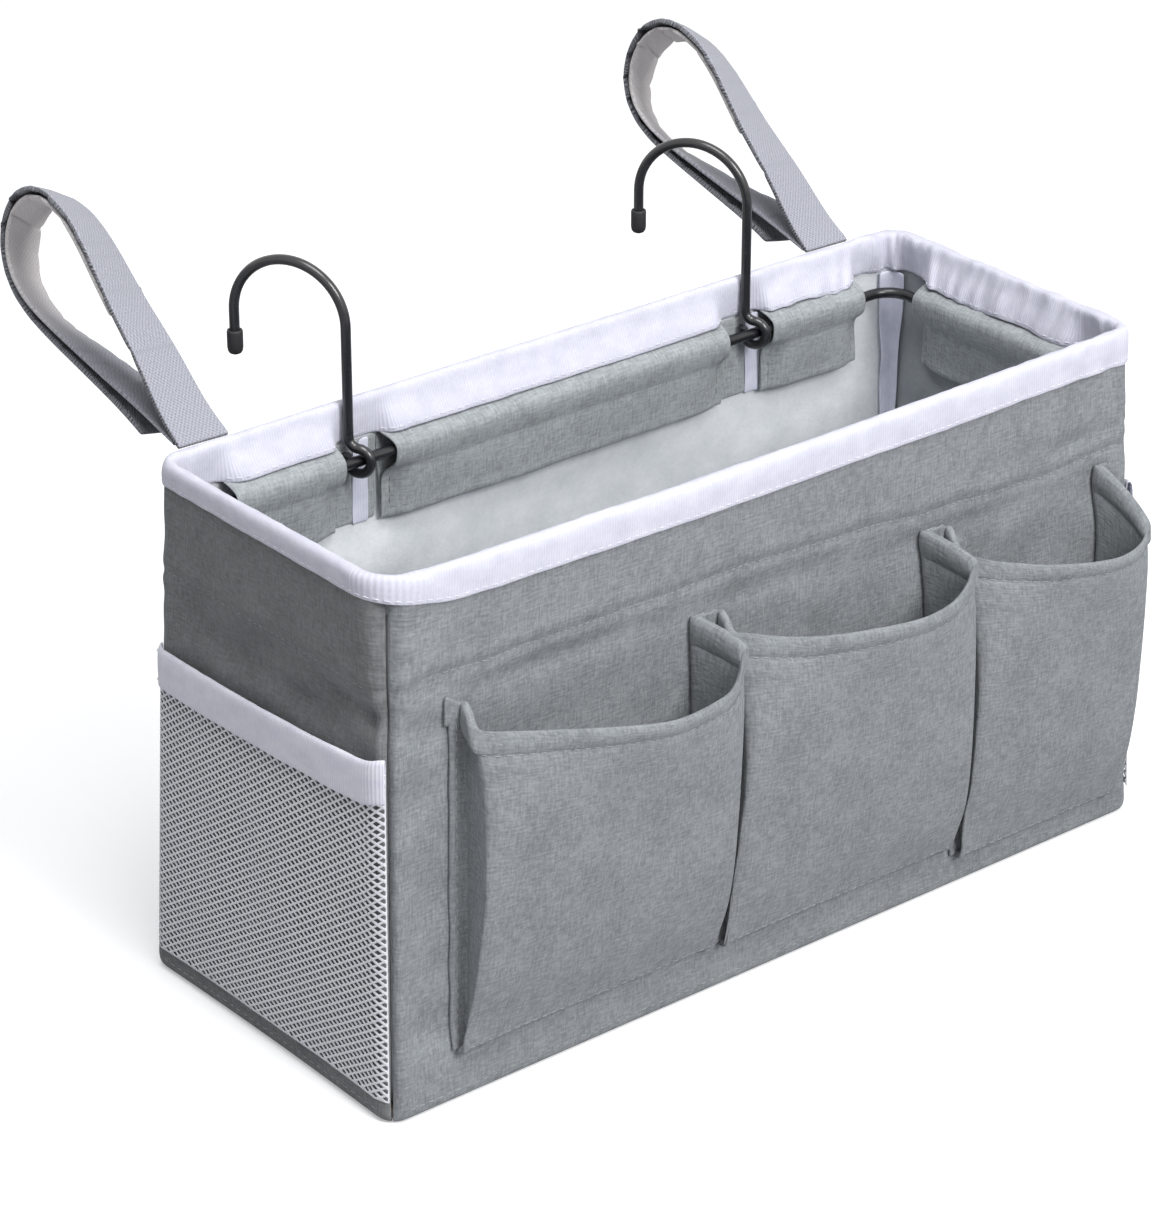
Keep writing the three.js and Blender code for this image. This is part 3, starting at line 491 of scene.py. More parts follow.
FOOT_STITCH = 4.6
for k, panel in enumerate(PANELS):
    stations = spread(SEAMS[k] + 1.8, SEAMS[k + 1] - 1.8, 3)
    top_line = [wall(s, stitch_level(s), -0.25) for s in stations]
    foot_line = [wall(s, FOOT_STITCH) for s in stations]
    sew(f"{panel}_topstitch", top_line, grey_thread, "canvas", length=2.2, gap=0.8, width=0.38)
    sew(f"{panel}_foot_stitch", foot_line, grey_thread, "canvas", length=2.4, gap=1.4, width=0.4)

# Floor of the box: a canvas panel sewn in round its edge, under the stiff board that keeps the
# caddy's shape. The board is grey-brown fibre board and lies loose under the lining.
FLOOR_CANVAS = 1.2
FLOOR_INSET = 2.2


def rounded_plan(u, v, length, width, corner):
    """A place of the square from -1 to 1, moved into a rectangle with round corners."""
    x = u * length
    y = v * width
    dx = abs(x) - (length - corner)
    dy = abs(y) - (width - corner)
    if dx > 0 and dy > 0:
        far = max(dx, dy)
        reach = math.hypot(dx, dy)
        dx, dy = dx * far / reach, dy * far / reach
        x = math.copysign(length - corner + dx, x)
        y = math.copysign(width - corner + dy, y)
    return x, y


def floor_place(s, t):
    u = s / (FOOT_LENGTH / 2)
    v = t / (FOOT_WIDTH / 2)
    length = half_length(0)
    width = half_width(0)
    x, y = rounded_plan(u, v, length - FLOOR_INSET, width - FLOOR_INSET, CORNER - FLOOR_INSET)
    x -= math.copysign(3.0 * math.cos(y * math.pi / 2 / width), x) * (x / length) ** 2
    rise = 0.5 * max(ripple(x * 0.03, y * 0.03, 2.0), 0)
    return x, y, 0.9 + rise * (1 - max(abs(u), abs(v)))


lay_cloth("floor_canvas", spread(FOOT_LENGTH / 2, -FOOT_LENGTH / 2, 4),
          spread(-FOOT_WIDTH / 2, FOOT_WIDTH / 2, 4), floor_place, [canvas], FLOOR_CANVAS,
          slot="canvas", replaces=["bottom_panel"], held="stretched", rests_on=["bottom_board"])


def board_look():
    look, tree, _ = new_look("fibre_board", Roughness=0.9)
    fibres = streaks(tree, object_place(tree), 350, 60, 5.0, 0.7)
    colour = blend_colours(tree, fibres, (0.2, 0.15, 0.1, 1), (0.42, 0.34, 0.25, 1))
    return finish(look, colour, fibres, 0.0003, 0.5)


def dress_node(node, look):
    """Gives a plain CAD piece that stays in view its material."""
    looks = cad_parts[node].data.materials
    looks.clear()
    looks.append(look)


dress_node("bottom_board", board_look())

# Lining: a bag of pale pressed felt that lies loose against the walls and over the board, and is
# caught with the walls in the rim binding. Its two end walls are coloured a darker grey as painted
# shade.
LINING = 0.5
LINING_IN = 1.9
LINING_FACE = -LINING_IN - 0.6
FLOOR_TOP = 5.2
LINING_FLOOR_RUN = 60
LINING_WALL_RUN = 188.4


def split_cloth(tree, cloth):
    """The measure along the cloth and the measure up it."""
    split = node_of(tree, "ShaderNodeSeparateXYZ", Vector=cloth)
    return split.outputs[0], split.outputs[1]


def felt_look():
    look, tree, _ = new_look("pale_felt", Roughness=0.92, Sheen_Weight=0.15)
    cloth = cloth_measure(tree)
    along, up = split_cloth(tree, cloth)
    clouds = streaks(tree, cloth, 55, 60, 4.0, 0.6)
    fibres = streaks(tree, cloth, 420, 640, 3.0, 0.7)
    tone = figure(tree, "MULTIPLY_ADD", clouds, 1.5, figure(tree, "MULTIPLY", fibres, 0.5))
    tone = clamped(tree, figure(tree, "ADD", tone, -0.5))
    pale = blend_colours(tree, tone, (0.6, 0.63, 0.66, 1), (0.86, 0.88, 0.9, 1))
    # The darker grey on the end walls is painted shade on the same pale felt.
    grey = blend_colours(tree, tone, (0.25, 0.27, 0.29, 1), (0.36, 0.38, 0.4, 1))
    ends = []
    for middle in (RIGHT, LEFT):
        off = figure(tree, "ABSOLUTE", figure(tree, "SUBTRACT", along, middle * MM))
        ends.append(figure(tree, "LESS_THAN", off, (SHORT_SIDE + CORNER_RUN) / 2 * MM))
    wall_part = figure(tree, "GREATER_THAN", up, LINING_FLOOR_RUN * MM)
    end_wall = figure(tree, "MULTIPLY", figure(tree, "MAXIMUM", *ends), wall_part)
    return finish(look, blend_colours(tree, end_wall, pale, grey), fibres, 0.0003, 0.7)


def lining_place(along, t):
    """t runs from the middle of the floor out to its edge, then up the wall."""
    if t < LINING_FLOOR_RUN:
        share = t / LINING_FLOOR_RUN
        place, _ = wall(along, FLOOR_TOP, -LINING_IN - 3, 0)
        lift = 0.8 * max(ripple(place.x * share * 0.02, place.y * share * 0.03, 7), 0)
        return place.x * share, place.y * share, FLOOR_TOP + lift * (1 - share)
    z = FLOOR_TOP + t - LINING_FLOOR_RUN
    place, way = wall(along, z, -LINING_IN)
    curve = 3 * math.exp(-(t - LINING_FLOOR_RUN) / 1.5)
    loose = ease(12, 40, z) * (1 - ease(138, 150, z))
    loose *= 1 - hump(min(apart(along, seam) for seam in SEAMS) / 14)
    end_wall = 1 - ease(40, 60, min(apart(along, RIGHT), apart(along, LEFT)))
    billow = max(0.4 + 1.5 * ripple(place.x * 0.02, place.y * 0.03, z * 0.02, 11), 0)
    folds = ripple(place.x * 0.01, (place.y + z) * 0.045, (place.y - z) * 0.012, 3)
    return place - way * (curve + (billow + 5 * end_wall * max(folds, 0)) * loose)


lay_cloth(
    "lining_bag", spread(0, AROUND, 6), spread(0.3, LINING_FLOOR_RUN - 0.5, 8)
    + spread(LINING_FLOOR_RUN, LINING_FLOOR_RUN + LINING_WALL_RUN, 5.4),
    lining_place, [felt_look()], LINING, join=True, slot="lining", replaces=["inner_lining"],
    held="hung", rests_on=["rim_ribbon_tape", "bottom_board"],
)
# Where each strap's end is sewn through the back wall, a crossed square of stitches shows inside.
BOX_HALF = 7
BOX_LOW = 119
BOX_HIGH = 136
box_thread = thread_look("dark_thread", (0.25, 0.27, 0.29, 1))


def through_corners(corners, steps, spot):
    """A path from corner to corner, with a spot at so many even steps of each line."""
    path = []
    for (a, b), (c, d) in zip(corners, corners[1:]):
        path += [spot(a + (c - a) * i / steps, b + (d - b) * i / steps) for i in range(steps + 1)]
    return path


for name, middle in (("right_box_stitch", BACK - 149), ("left_box_stitch", BACK + 151)):
    def on_lining(s, z, middle=middle):
        face, way = wall(middle + s, z, LINING_FACE)
        return face, -way

    corners = ((-BOX_HALF, BOX_LOW), (BOX_HALF, BOX_LOW), (BOX_HALF, BOX_HIGH),
               (-BOX_HALF, BOX_HIGH), (-BOX_HALF, BOX_LOW), (BOX_HALF, BOX_HIGH))
    sew(name, through_corners(corners, 4, on_lining), box_thread, "lining",
        length=2.4, gap=1.2, width=0.5)

# Tapes inside: a lavender tape over each inside corner seam, and a narrow one that binds the raw
# end of the casing flap in each hook opening.
TAPE = 0.5
CORNER_TAPE_HALF = 8.2
OPENING_TAPE_HALF = 3.5
TAPE_TOP = 179.5


def ribbon_group():
    """Woven ribbon: fine ribs across it and a soft change of shade along it."""
    tree, ins, outs = value_group(
        "ribbon", (("Cloth", "v"), ("Shade", "c"), ("Pale", "c"), ("Ribs", "f")),
        (("Colour", "c"), ("Relief", "f")),
    )
    cloth = ins.outputs["Cloth"]
    along, _ = split_cloth(tree, cloth)
    rate = figure(tree, "MULTIPLY", ins.outputs["Ribs"], math.tau)
    turns = figure(tree, "MULTIPLY", along, rate)
    ribs = figure(tree, "MULTIPLY_ADD", figure(tree, "SINE", turns), 0.5, 0.5)
    wear = streaks(tree, cloth, 90, 160, 3.0)
    fine = streaks(tree, cloth, 2200, 500, 1.0)
    tone = figure(tree, "MULTIPLY_ADD", wear, 1.1, -0.25)
    tone = figure(tree, "ADD", tone, figure(tree, "MULTIPLY", ribs, 0.22))
    tone = figure(tree, "ADD", tone, figure(tree, "MULTIPLY_ADD", fine, 0.4, -0.2))
    shade, pale = ins.outputs["Shade"], ins.outputs["Pale"]
    feed(tree, blend_colours(tree, clamped(tree, tone), shade, pale), outs.inputs["Colour"])
    feed(tree, figure(tree, "MULTIPLY_ADD", fine, 0.5, ribs), outs.inputs["Relief"])
    return tree


RIBBON = ribbon_group()
RIBS_PER_METRE = 900


def ribbon_look(name, shade, pale):
    look, tree, _ = new_look(name, Roughness=0.62, Sheen_Weight=0.25)
    ribbon = node_of(tree, "ShaderNodeGroup", node_tree=RIBBON)
    for term, socket in zip((cloth_measure(tree), shade, pale, RIBS_PER_METRE), ribbon.inputs):
        feed(tree, term, socket)
    return finish(look, ribbon.outputs["Colour"], ribbon.outputs["Relief"], 0.00012, 0.7)


seam_ribbon = ribbon_look("seam_ribbon", (0.62, 0.63, 0.78, 1), (0.86, 0.87, 0.97, 1))


def corner_tape(name, middle, node):
    def place(s, z):
        seam = 0.4 * hump((s - middle) / 1.2)
        fold = 0.5 + 0.5 * ripple(s * 0.2, z * 0.06, middle) - seam
        face, way = wall(s + 0.5 * ripple(z * 0.05, middle, 0), z, -LINING_IN - 1.3)
        return face - way * (max(fold, 0) + 0.2)

    across = spread(middle + CORNER_TAPE_HALF, middle - CORNER_TAPE_HALF, 1.3)
    lay_cloth(name, across, spread(9.5, TAPE_TOP, 3.4), place, [seam_ribbon], -TAPE,
              slot="binding", replaces=[node])


for k, corner in enumerate(("front_right", "back_right", "back_left", "front_left")):
    corner_tape(f"{corner}_corner_ribbon", SEAMS[k + 1], f"corner_tape_{corner}")


def back_run(x):
    """How far round the wall a place inside the back is, from its x near the rim."""
    return BACK - x * LONG_SIDE / (2 * (half_length(165) - LINING_IN - 2 - 4.2))


for end, x in (("left", -85.5), ("right", 94.5)):
    def opening_place(s, z, x=x):
        lift = 0.35 + 0.25 * ripple(s * 0.3, z * 0.1, x)
        face, way = wall(back_run(x) + s, z, LINING_FACE)
        return face - way * (lift + 0.5 * ease(1.5, 3.5, abs(s)))

    lay_cloth(f"{end}_opening_ribbon", spread(OPENING_TAPE_HALF, -OPENING_TAPE_HALF, 1),
              spread(147.6, TAPE_TOP, 2.4), opening_place, [seam_ribbon], -TAPE,
              slot="binding", replaces=[f"hook_opening_tape_{end}"])

# Wire frame: a ring of black steel wire in two U-shaped halves, joined by a tube inside each side
# casing. It carries the box, and shows only at the corners and in the hook openings.
FRAME_Z = 174.5
FRAME_X = 158.136
FRAME_Y = 54.136
FRAME_BEND = 10
FRAME_WIRE = 4.0


def wire_look(name, colour, roughness, coat):
    look, tree, surface = new_look(name, Coat_Weight=coat, Coat_Roughness=0.12)
    rub = streaks(tree, object_place(tree), 160, 160, 4.0, 0.6)
    worn = figure(tree, "GREATER_THAN", rub, 0.72)
    matt = figure(tree, "MULTIPLY_ADD", rub, 0.3, roughness - 0.15)
    feed(tree, matt, surface.inputs["Roughness"])
    tone = blend_colours(tree, worn, colour, shaded(colour, 2.4))
    return finish(look, tone, rub, 0.00008, 0.4)


frame_black = wire_look("frame_black", (0.008, 0.008, 0.01, 1), 0.36, 0.25)


def wire(name, route, diameter, look, **about):
    """A round wire along a route of places in millimetres, made of a curve and then a mesh."""
    curve = bpy.data.curves.new(name, "CURVE")
    curve.dimensions = "3D"
    curve.bevel_depth = diameter / 2 * MM
    curve.bevel_resolution = 4
    curve.use_fill_caps = True
    line = curve.splines.new("POLY")
    line.points.add(len(route) - 1)
    for point, place in zip(line.points, route):
        point.co = (*(Vector(place) * MM), 1)
    bent = bpy.data.objects.new(name + "_route", curve)
    bpy.context.scene.collection.objects.link(bent)
    shown = bent.evaluated_get(bpy.context.evaluated_depsgraph_get())
    mesh = bpy.data.meshes.new_from_object(shown)
    bpy.data.objects.remove(bent)
    mesh.name = name
    mesh.materials.clear()
    add_piece(name, mesh, [look], **about)


def turn_points(cx, cy, radius, start, end, count):
    """Places on an arc, by degrees."""
    angles = [math.radians(start + (end - start) * i / count) for i in range(count + 1)]
    return [(cx + radius * math.cos(a), cy + radius * math.sin(a)) for a in angles]


x = FRAME_X - FRAME_BEND
y = FRAME_Y - FRAME_BEND
half_ring = [(-FRAME_X, -0.15)] + turn_points(-x, -y, FRAME_BEND, 180, 270, 14)
half_ring += turn_points(x, -y, FRAME_BEND, 270, 360, 14) + [(FRAME_X, -0.15)]
for half, side in (("front", -1), ("back", 1)):
    route = [(-side * a, -side * b, FRAME_Z) for a, b in half_ring]
    wire(f"{half}_frame_wire", route, FRAME_WIRE, frame_black, slot="frame_wire",
         replaces=[f"frame_rod_{half}"])
for end in ("left", "right"):
    dress_node(f"frame_sleeve_{end}", frame_black)

# Casings: flaps of the same canvas sewn under the binding, folded up under their own lower edge,
# stitched through the lining and puffed out round the frame wire above that line.
CASING = 0.8
CASING_LOW = 148.0
CASING_HEM = 151.8
CASING_STITCH = 167.5
CASING_TOP = 179.6
END_SEAM = 3.2
# The casings and facings get a paler copy of the grey canvas: painted light on the casings inside
# the box.
casing_canvas_painted_light = canvas_look("casing_canvas_painted_light", (0.26, 0.278, 0.292, 1), (0.41, 0.435, 0.45, 1))


def along_line(points, run):
    """The place at a run along a line of points."""
    for a, b in zip(points, points[1:]):
        step = (b - a).length
        if run <= step or b is points[-1]:
            return a + (b - a) * (run / step)
        run -= step


def line_runs(points):
    """The run from the start of a line to each of its points."""
    runs = [0.0]
    for a, b in zip(points, points[1:]):
        runs.append(runs[-1] + (b - a).length)
    return runs


# The casing's section: out from the lining into the room, and the height.
CASING_SECTION = [Vector(p) for p in (
    (0.6, CASING_TOP), (0.6, 172), (1.8, 160), (3.0, 151), (3.4, 149), (4.0, CASING_LOW),
    (4.8, 148.4), (5.2, 150), (5.3, 152.3), (5.8, 154.5), (6.6, 158), (7.4, 162), (7.9, 165.4),
    (7.9, 167), (8.3, 168.2), (8.8, 169.6), (9.1, 171), (9.4, 172.5), (9.5, 174), (9.5, 175.5),
    (9.0, 177), (7.6, 178), (5.6, 178.8), (3.6, 179.4), (1.8, 179.8), (1.0, 179.9),
)]


def casing_hang(z):
    """0 above the casing's seam, and 1 where the flap hangs free below it."""
    return ease(0, 1, (CASING_STITCH - z) / 19)


def casing_wave(s):
    return max(0.5 + 1.5 * ripple(s * 0.025, 5.0, 0) + 0.6 * ripple(s * 0.09, 2.0, 0), 0)


def casing_shut(stand, near_end, z):
    """How far the flap stands from the lining once its ends are sewn down."""
    shut = (1 - ease(0, 11, near_end)) * ease(CASING_STITCH + 3, CASING_STITCH - 4, z)
    return stand - max(stand - 2.4, 0) * shut


def casing(name, start, end, node, bulk=0.0):
    """A casing between two places round the wall. bulk is the extra room for the joining tube."""
    def section_at(s, run):
        stand, z = along_line(CASING_SECTION, run)
        hang = casing_hang(z)
        stand += casing_wave(s) * hang * (0.35 if stand < 0.65 else 1)
        if z > CASING_STITCH and stand > 1:
            pucker = 0.25 * ripple(s * 0.35, z * 0.2, 9) + 0.35 * ripple(s * 0.09, z * 0.1, 3)
            stand += pucker * ease(168, 172, z) + (bulk + bow(s, z)) * ease(2, 8, stand)
        else:
            stand += 0.12 * ripple(s * 0.3, z * 0.25, 1) * ease(0.65, 1.8, stand)
            z += 0.45 * ripple(s * 0.05, 7, 0) * hang
        near_end = min(abs(s - start), abs(s - end))
        if stand > 1.2:
            stand = casing_shut(stand, near_end, z)
        if stand > 1.2 and z < CASING_STITCH:
            stand -= 0.45 * hump(near_end - END_SEAM)
        return max(stand, 0.3), z

    def place(s, run):
        stand, z = section_at(s, run)
        shrink = 1 - (stand - 2) / (2 * half_length(z))
        middle = (start + end) / 2
        face, way = wall(middle + (s - middle) * shrink, z, LINING_FACE)
        return face - way * stand

    ends = [0, 0.9, 2.2, END_SEAM, 4.2]
    across = [end - d for d in ends] + spread(end - 6.5, start + 6.5, 3)
    across += [start + d for d in ends[::-1]]
    piece = lay_cloth(name, across, line_runs(CASING_SECTION), place, [casing_canvas_painted_light], CASING,
                      slot="canvas", replaces=[node])
    piece.modifiers["thickness"].offset = 1

    def on_casing(s, z):
        stand = 7.9 - 2.6 * min(max((165.4 - z) / 13, 0), 1) + casing_wave(s) * casing_hang(z)
        stand = casing_shut(stand, min(abs(s - start), abs(s - end)), z)
        face, way = wall(s, z, LINING_FACE)
        return face - way * (stand + 0.45), -way

    left, right = start + END_SEAM, end - END_SEAM
    seam = [on_casing(s, CASING_STITCH) for s in spread(start + 1.5, end - 1.5, 3)]
    hem = [on_casing(left, z) for z in spread(164.5, 152, 3)]
    hem += [on_casing(s, CASING_HEM) for s in spread(left, right, 3)]
    hem += [on_casing(right, z) for z in spread(152, 164.5, 3)]
    for label, line in (("seam", seam), ("hem", hem)):
        sew(f"{name}_{label}", line, casing_thread, "canvas", length=2.8, gap=1.3, width=0.5)


casing_thread = thread_look("casing_thread", (0.25, 0.265, 0.275, 1))
# Each casing: its piece, its CAD node, the middle of its side, its ends from there, and its bulk.
CASINGS = (
    ("front_casing", "casing_front", FRONT, -149.5, 149.5, 0),
    ("left_back_casing", "casing_back_left", BACK, 101, 149.5, 0),
    ("middle_back_casing", "casing_back_middle", BACK, -81, 81, 0),
    ("right_back_casing", "casing_back_right", BACK, -149.5, -101, 0),
    ("left_casing", "casing_left", LEFT, -45, 45, 0.8),
    ("right_casing", "casing_right", RIGHT, -45, 45, 0.8),
)
for name, node, middle, start, end, bulk in CASINGS:
    casing(name, middle + start, middle + end, node, bulk)


# The same flap runs on flat behind each hook opening, where it isn't folded round the frame.
OPENING_HALF = 11.5
FACING = 0.4
HOOK_PLACES = (("left", -90), ("right", 90))
for end, x in HOOK_PLACES:
    def facing_place(s, z, x=x):
        face, way = wall(back_run(x) + s, z, LINING_FACE)
        return face - way * 0.35

    lay_cloth(f"{end}_opening_facing", spread(OPENING_HALF, -OPENING_HALF, 2.3),
              spread(148.2, CASING_TOP, 2.6), facing_place, [casing_canvas_painted_light], -FACING,
              slot="canvas")

# Side pockets: a knitted mesh net sewn round both corners of each side, bellied out at its top,
# where a folded lavender band is sewn over it.
NET_LOW = 9.0
BAND_TOP = 124.0
BAND = 14.0
NET_TOP = BAND_TOP - BAND * 0.33
NET_TALL = NET_TOP - NET_LOW
NET_HALF = 66.0
BAND_HALF = 64
NET_WRAP = math.radians(42)
NET_CELL = (4.2, 2.7)
NET_CELLS = 78
NET_THREAD = 0.36
NET_THICK = 0.45


def band_rise(share):
    """How much higher the top edge stands at a share across, towards the front seam at -1."""
    forward = (1 - share) / 2
    return 2.2 + 7 * forward - 2 * forward ** 2 + 2.2 * hump((1 - forward) / 0.04)


def net_place(side, share, height, out):
    """A place on a side pocket: across from the front seam at -1 to the back seam at 1."""
    share = share * 0.999 or 0.0001
    climb = (height - NET_LOW) / NET_TALL
    z = height + band_rise(share) * climb + 0.8 * (1 - share ** 4) * (1 - climb)
    bulge = (2.6 * climb + 0.5 * ripple(share * 3, z * 0.03, side * 5)) * (1 - share ** 2)
    stand = 0.9 - 0.7 * ease(0.9, 1, share) + bulge + out + bow(LEFT + share * SHORT_SIDE / 2, z)
    straight = half_width(height) - CORNER
    run = abs(share) * (straight + CORNER * NET_WRAP)
    angle = max(run - straight, 0) / CORNER
    reach = CORNER + stand
    y = min(run, straight) + reach * math.sin(angle)
    x = half_length(z) - CORNER + reach * math.cos(angle)
    return Vector((side * x, math.copysign(y, share), z))


def net_look():
    look, tree, _ = new_look("mesh_thread", Roughness=0.75, Sheen_Weight=0.2)
    knit = streaks(tree, object_place(tree), 1500, 1500)
    colour = blend_colours(tree, knit, (0.74, 0.74, 0.82, 1), (0.96, 0.96, 0.99, 1))
    return finish(look, colour, knit, 0.0002, 0.6)


net_thread = net_look()


def side_net(end, side):
    """A grid turned to diamonds and cut to size, with each cell opened and its rim left."""
    shape = bmesh.new()
    bmesh.ops.create_grid(shape, x_segments=NET_CELLS, y_segments=NET_CELLS, size=NET_CELLS / 2)
    turn = Matrix.Rotation(math.pi / 4, 4, "Z")
    scale = Matrix.Diagonal((NET_CELL[0] / math.sqrt(2), NET_CELL[1] / math.sqrt(2), 1, 1))
    bmesh.ops.transform(shape, matrix=scale @ turn, verts=shape.verts)
    for way in ((1, 0, 0), (-1, 0, 0), (0, 1, 0), (0, -1, 0)):
        edge = (way[0] * NET_HALF, way[1] * NET_TALL / 2, 0)
        every = shape.verts[:] + shape.edges[:] + shape.faces[:]
        bmesh.ops.bisect_plane(shape, geom=every, plane_co=edge, plane_no=way, clear_outer=True)
    least = 0.55 * NET_CELL[0] * NET_CELL[1] / 2
    cells = [face for face in shape.faces if face.calc_area() > least]
    bmesh.ops.inset_individual(shape, faces=cells, thickness=NET_THREAD, use_even_offset=True)
    bmesh.ops.delete(shape, geom=cells, context="FACES")
    for vert in shape.verts:
        share = min(max(vert.co.x / NET_HALF, -1), 1)
        vert.co = net_place(side, share, NET_LOW + NET_TALL / 2 + vert.co.y, 0.2) * MM
    if side < 0:
        bmesh.ops.reverse_faces(shape, faces=shape.faces)
    mesh = bpy.data.meshes.new(f"{end}_mesh_net")
    shape.to_mesh(mesh)
    shape.free()
    net = add_piece(f"{end}_mesh_net", mesh, [net_thread], slot="mesh_net",
                    replaces=[f"side_net_{end}"])
    body = net.modifiers.new("thickness", "SOLIDIFY")
    body.thickness = NET_THICK * MM
    body.offset = -1


# The band's section: out from the net, and up from the band's low edge.
BAND_SECTION = [Vector(p) for p in (
    (0.8, 0), (1.15, 0.6), (1.2, 2), (1.25, 7), (1.2, 12), (0.95, 13.5), (0.3, BAND),
    (-0.3, 13.6), (-0.5, 12), (-0.55, 7), (-0.5, 0.5),
)]
BAND_TAPE = 0.5
BAND_STITCHES = (("low", 1.6), ("high", 12.4))


def net_band(end, side):
    def spot(s, rise, out):
        wave = 0.3 * ripple(s * 0.06, rise * 0.1, side * 3)
        wave += 0.2 * ripple(s * 0.2, rise * 0.15, side)
        level = BAND_TOP - BAND + rise + 0.35 * ripple(s * 0.05, side, 2)
        return net_place(side, -side * s / BAND_HALF, level, out + wave)

    def place(s, run):
        out, rise = along_line(BAND_SECTION, run)
        if side * s < 0:
            out *= 1 - 0.8 * ease(0.9, 1, abs(s) / BAND_HALF)
        return spot(s, rise, out - 0.2 * hump((rise - 1.6) / 0.7))

    lay_cloth(f"{end}_pocket_band", spread(-BAND_HALF, BAND_HALF, 2), line_runs(BAND_SECTION),
              place, [band_ribbon_painted_light], BAND_TAPE, slot="binding", replaces=[f"side_band_{end}"],
              held="folded", rests_on=[f"{end}_mesh_net"])
    for label, rise in BAND_STITCHES:
        path = []
        for s in spread(-BAND_HALF + 1, BAND_HALF - 1, 2):
            a = spot(s, rise, 1.2)
            path.append((a, (spot(s, rise, 3) - a).normalized()))
        sew(f"{end}_band_{label}_stitch", path, ribbon_thread, "binding",
            length=2.6, gap=1.0, width=0.4)


# The pocket bands get a paler copy of the rim ribbon: painted light for the bands on the shaded
# end walls.
band_ribbon_painted_light = ribbon_look("band_ribbon_painted_light", (0.68, 0.68, 0.82, 1), (0.94, 0.94, 0.99, 1))
ribbon_thread = thread_look("ribbon_thread", (0.84, 0.84, 0.93, 1))
for end, side in (("left", -1), ("right", 1)):
    side_net(end, side)
    net_band(end, side)

# Front pockets: each a strip of canvas sewn flat at both seams, pleated back under its own front,
# bellied out towards the top and finished with a turned and stitched hem.
POCKET_FEET = (20.5, 19.0, 13.5)
POCKET_TOP = 145.0
POCKET_DEPTH = 27.0
POCKET_CLOTH = 1.1
PLEAT = 6.0
SEAM_TOPS = (-144, -35, 70, 156)
SEAM_FEET = (-148, -35, 78, 160)
# How far the top edge of each pocket falls: by share across its front, at its right fold, and at
# its left in three places, the sewn edge, behind the pleat and at the left fold.
POCKET_FALLS = (
    ((0, 6.5), (0.08, 7), (0.27, 10), (0.43, 13), (0.67, 18), (0.8, 18.5), (0.93, 18),
     (0.985, 15), (1, 9)),
    ((0, 6), (0.12, 8.5), (0.27, 11), (0.52, 13), (0.74, 16), (0.9, 15.5), (0.98, 12), (1, 9)),
    ((0, 9), (0.1, 12), (0.22, 14), (0.44, 17), (0.75, 21.5), (0.9, 22), (0.98, 21), (1, 19)),
)
FOLD_FALLS = (5, 5.5, 17)
SEAM_FALLS = ((-3.5, 0, 5.5), (0.5, 1.5, 5.5), (0.5, 2, 8))
# By level: the depth of the left fold, the right fold and the belly, as shares of the full depth.
POCKET_FORM = (
    (0, 0, 0, 0), (0.06, 0.08, 0.15, 0.12), (0.16, 0.2, 0.36, 0.32), (0.3, 0.35, 0.52, 0.49),
    (0.46, 0.47, 0.63, 0.63), (0.62, 0.54, 0.71, 0.75), (0.76, 0.56, 0.76, 0.86),
    (0.87, 0.5, 0.78, 0.94), (1, 0.34, 0.76, 1),
)
HEM = 9.0
HEM_OVER = 3.0
# The stations across a pocket's front, and how many stand to the left and right of them.
FRONT_STATIONS = 19
LEFT_STATIONS = 11
RIGHT_STATIONS = 10


def pocket_form(level):
    """The shares at a level: left fold, right fold and belly, drawn smoothly through the table."""
    rows = POCKET_FORM
    k = 1
    while k < len(rows) - 1 and rows[k][0] < level:
        k += 1
    low, high = rows[k - 1], rows[k]
    before, after = rows[max(k - 2, 0)], rows[min(k + 1, len(rows) - 1)]
    span = high[0] - low[0]
    t = (level - low[0]) / span
    shares = []
    for i in (1, 2, 3):
        rise_low = (high[i] - before[i]) / max(high[0] - before[0], 1e-6) * span
        rise_high = (after[i] - low[i]) / max(after[0] - low[0], 1e-6) * span
        shares.append(
            (2 * t ** 3 - 3 * t ** 2 + 1) * low[i] + (t ** 3 - 2 * t ** 2 + t) * rise_low
            + (3 * t ** 2 - 2 * t ** 3) * high[i] + (t ** 3 - t ** 2) * rise_high
        )
    return shares


def seam_x(i, level):
    return SEAM_FEET[i] + (SEAM_TOPS[i] - SEAM_FEET[i]) * level


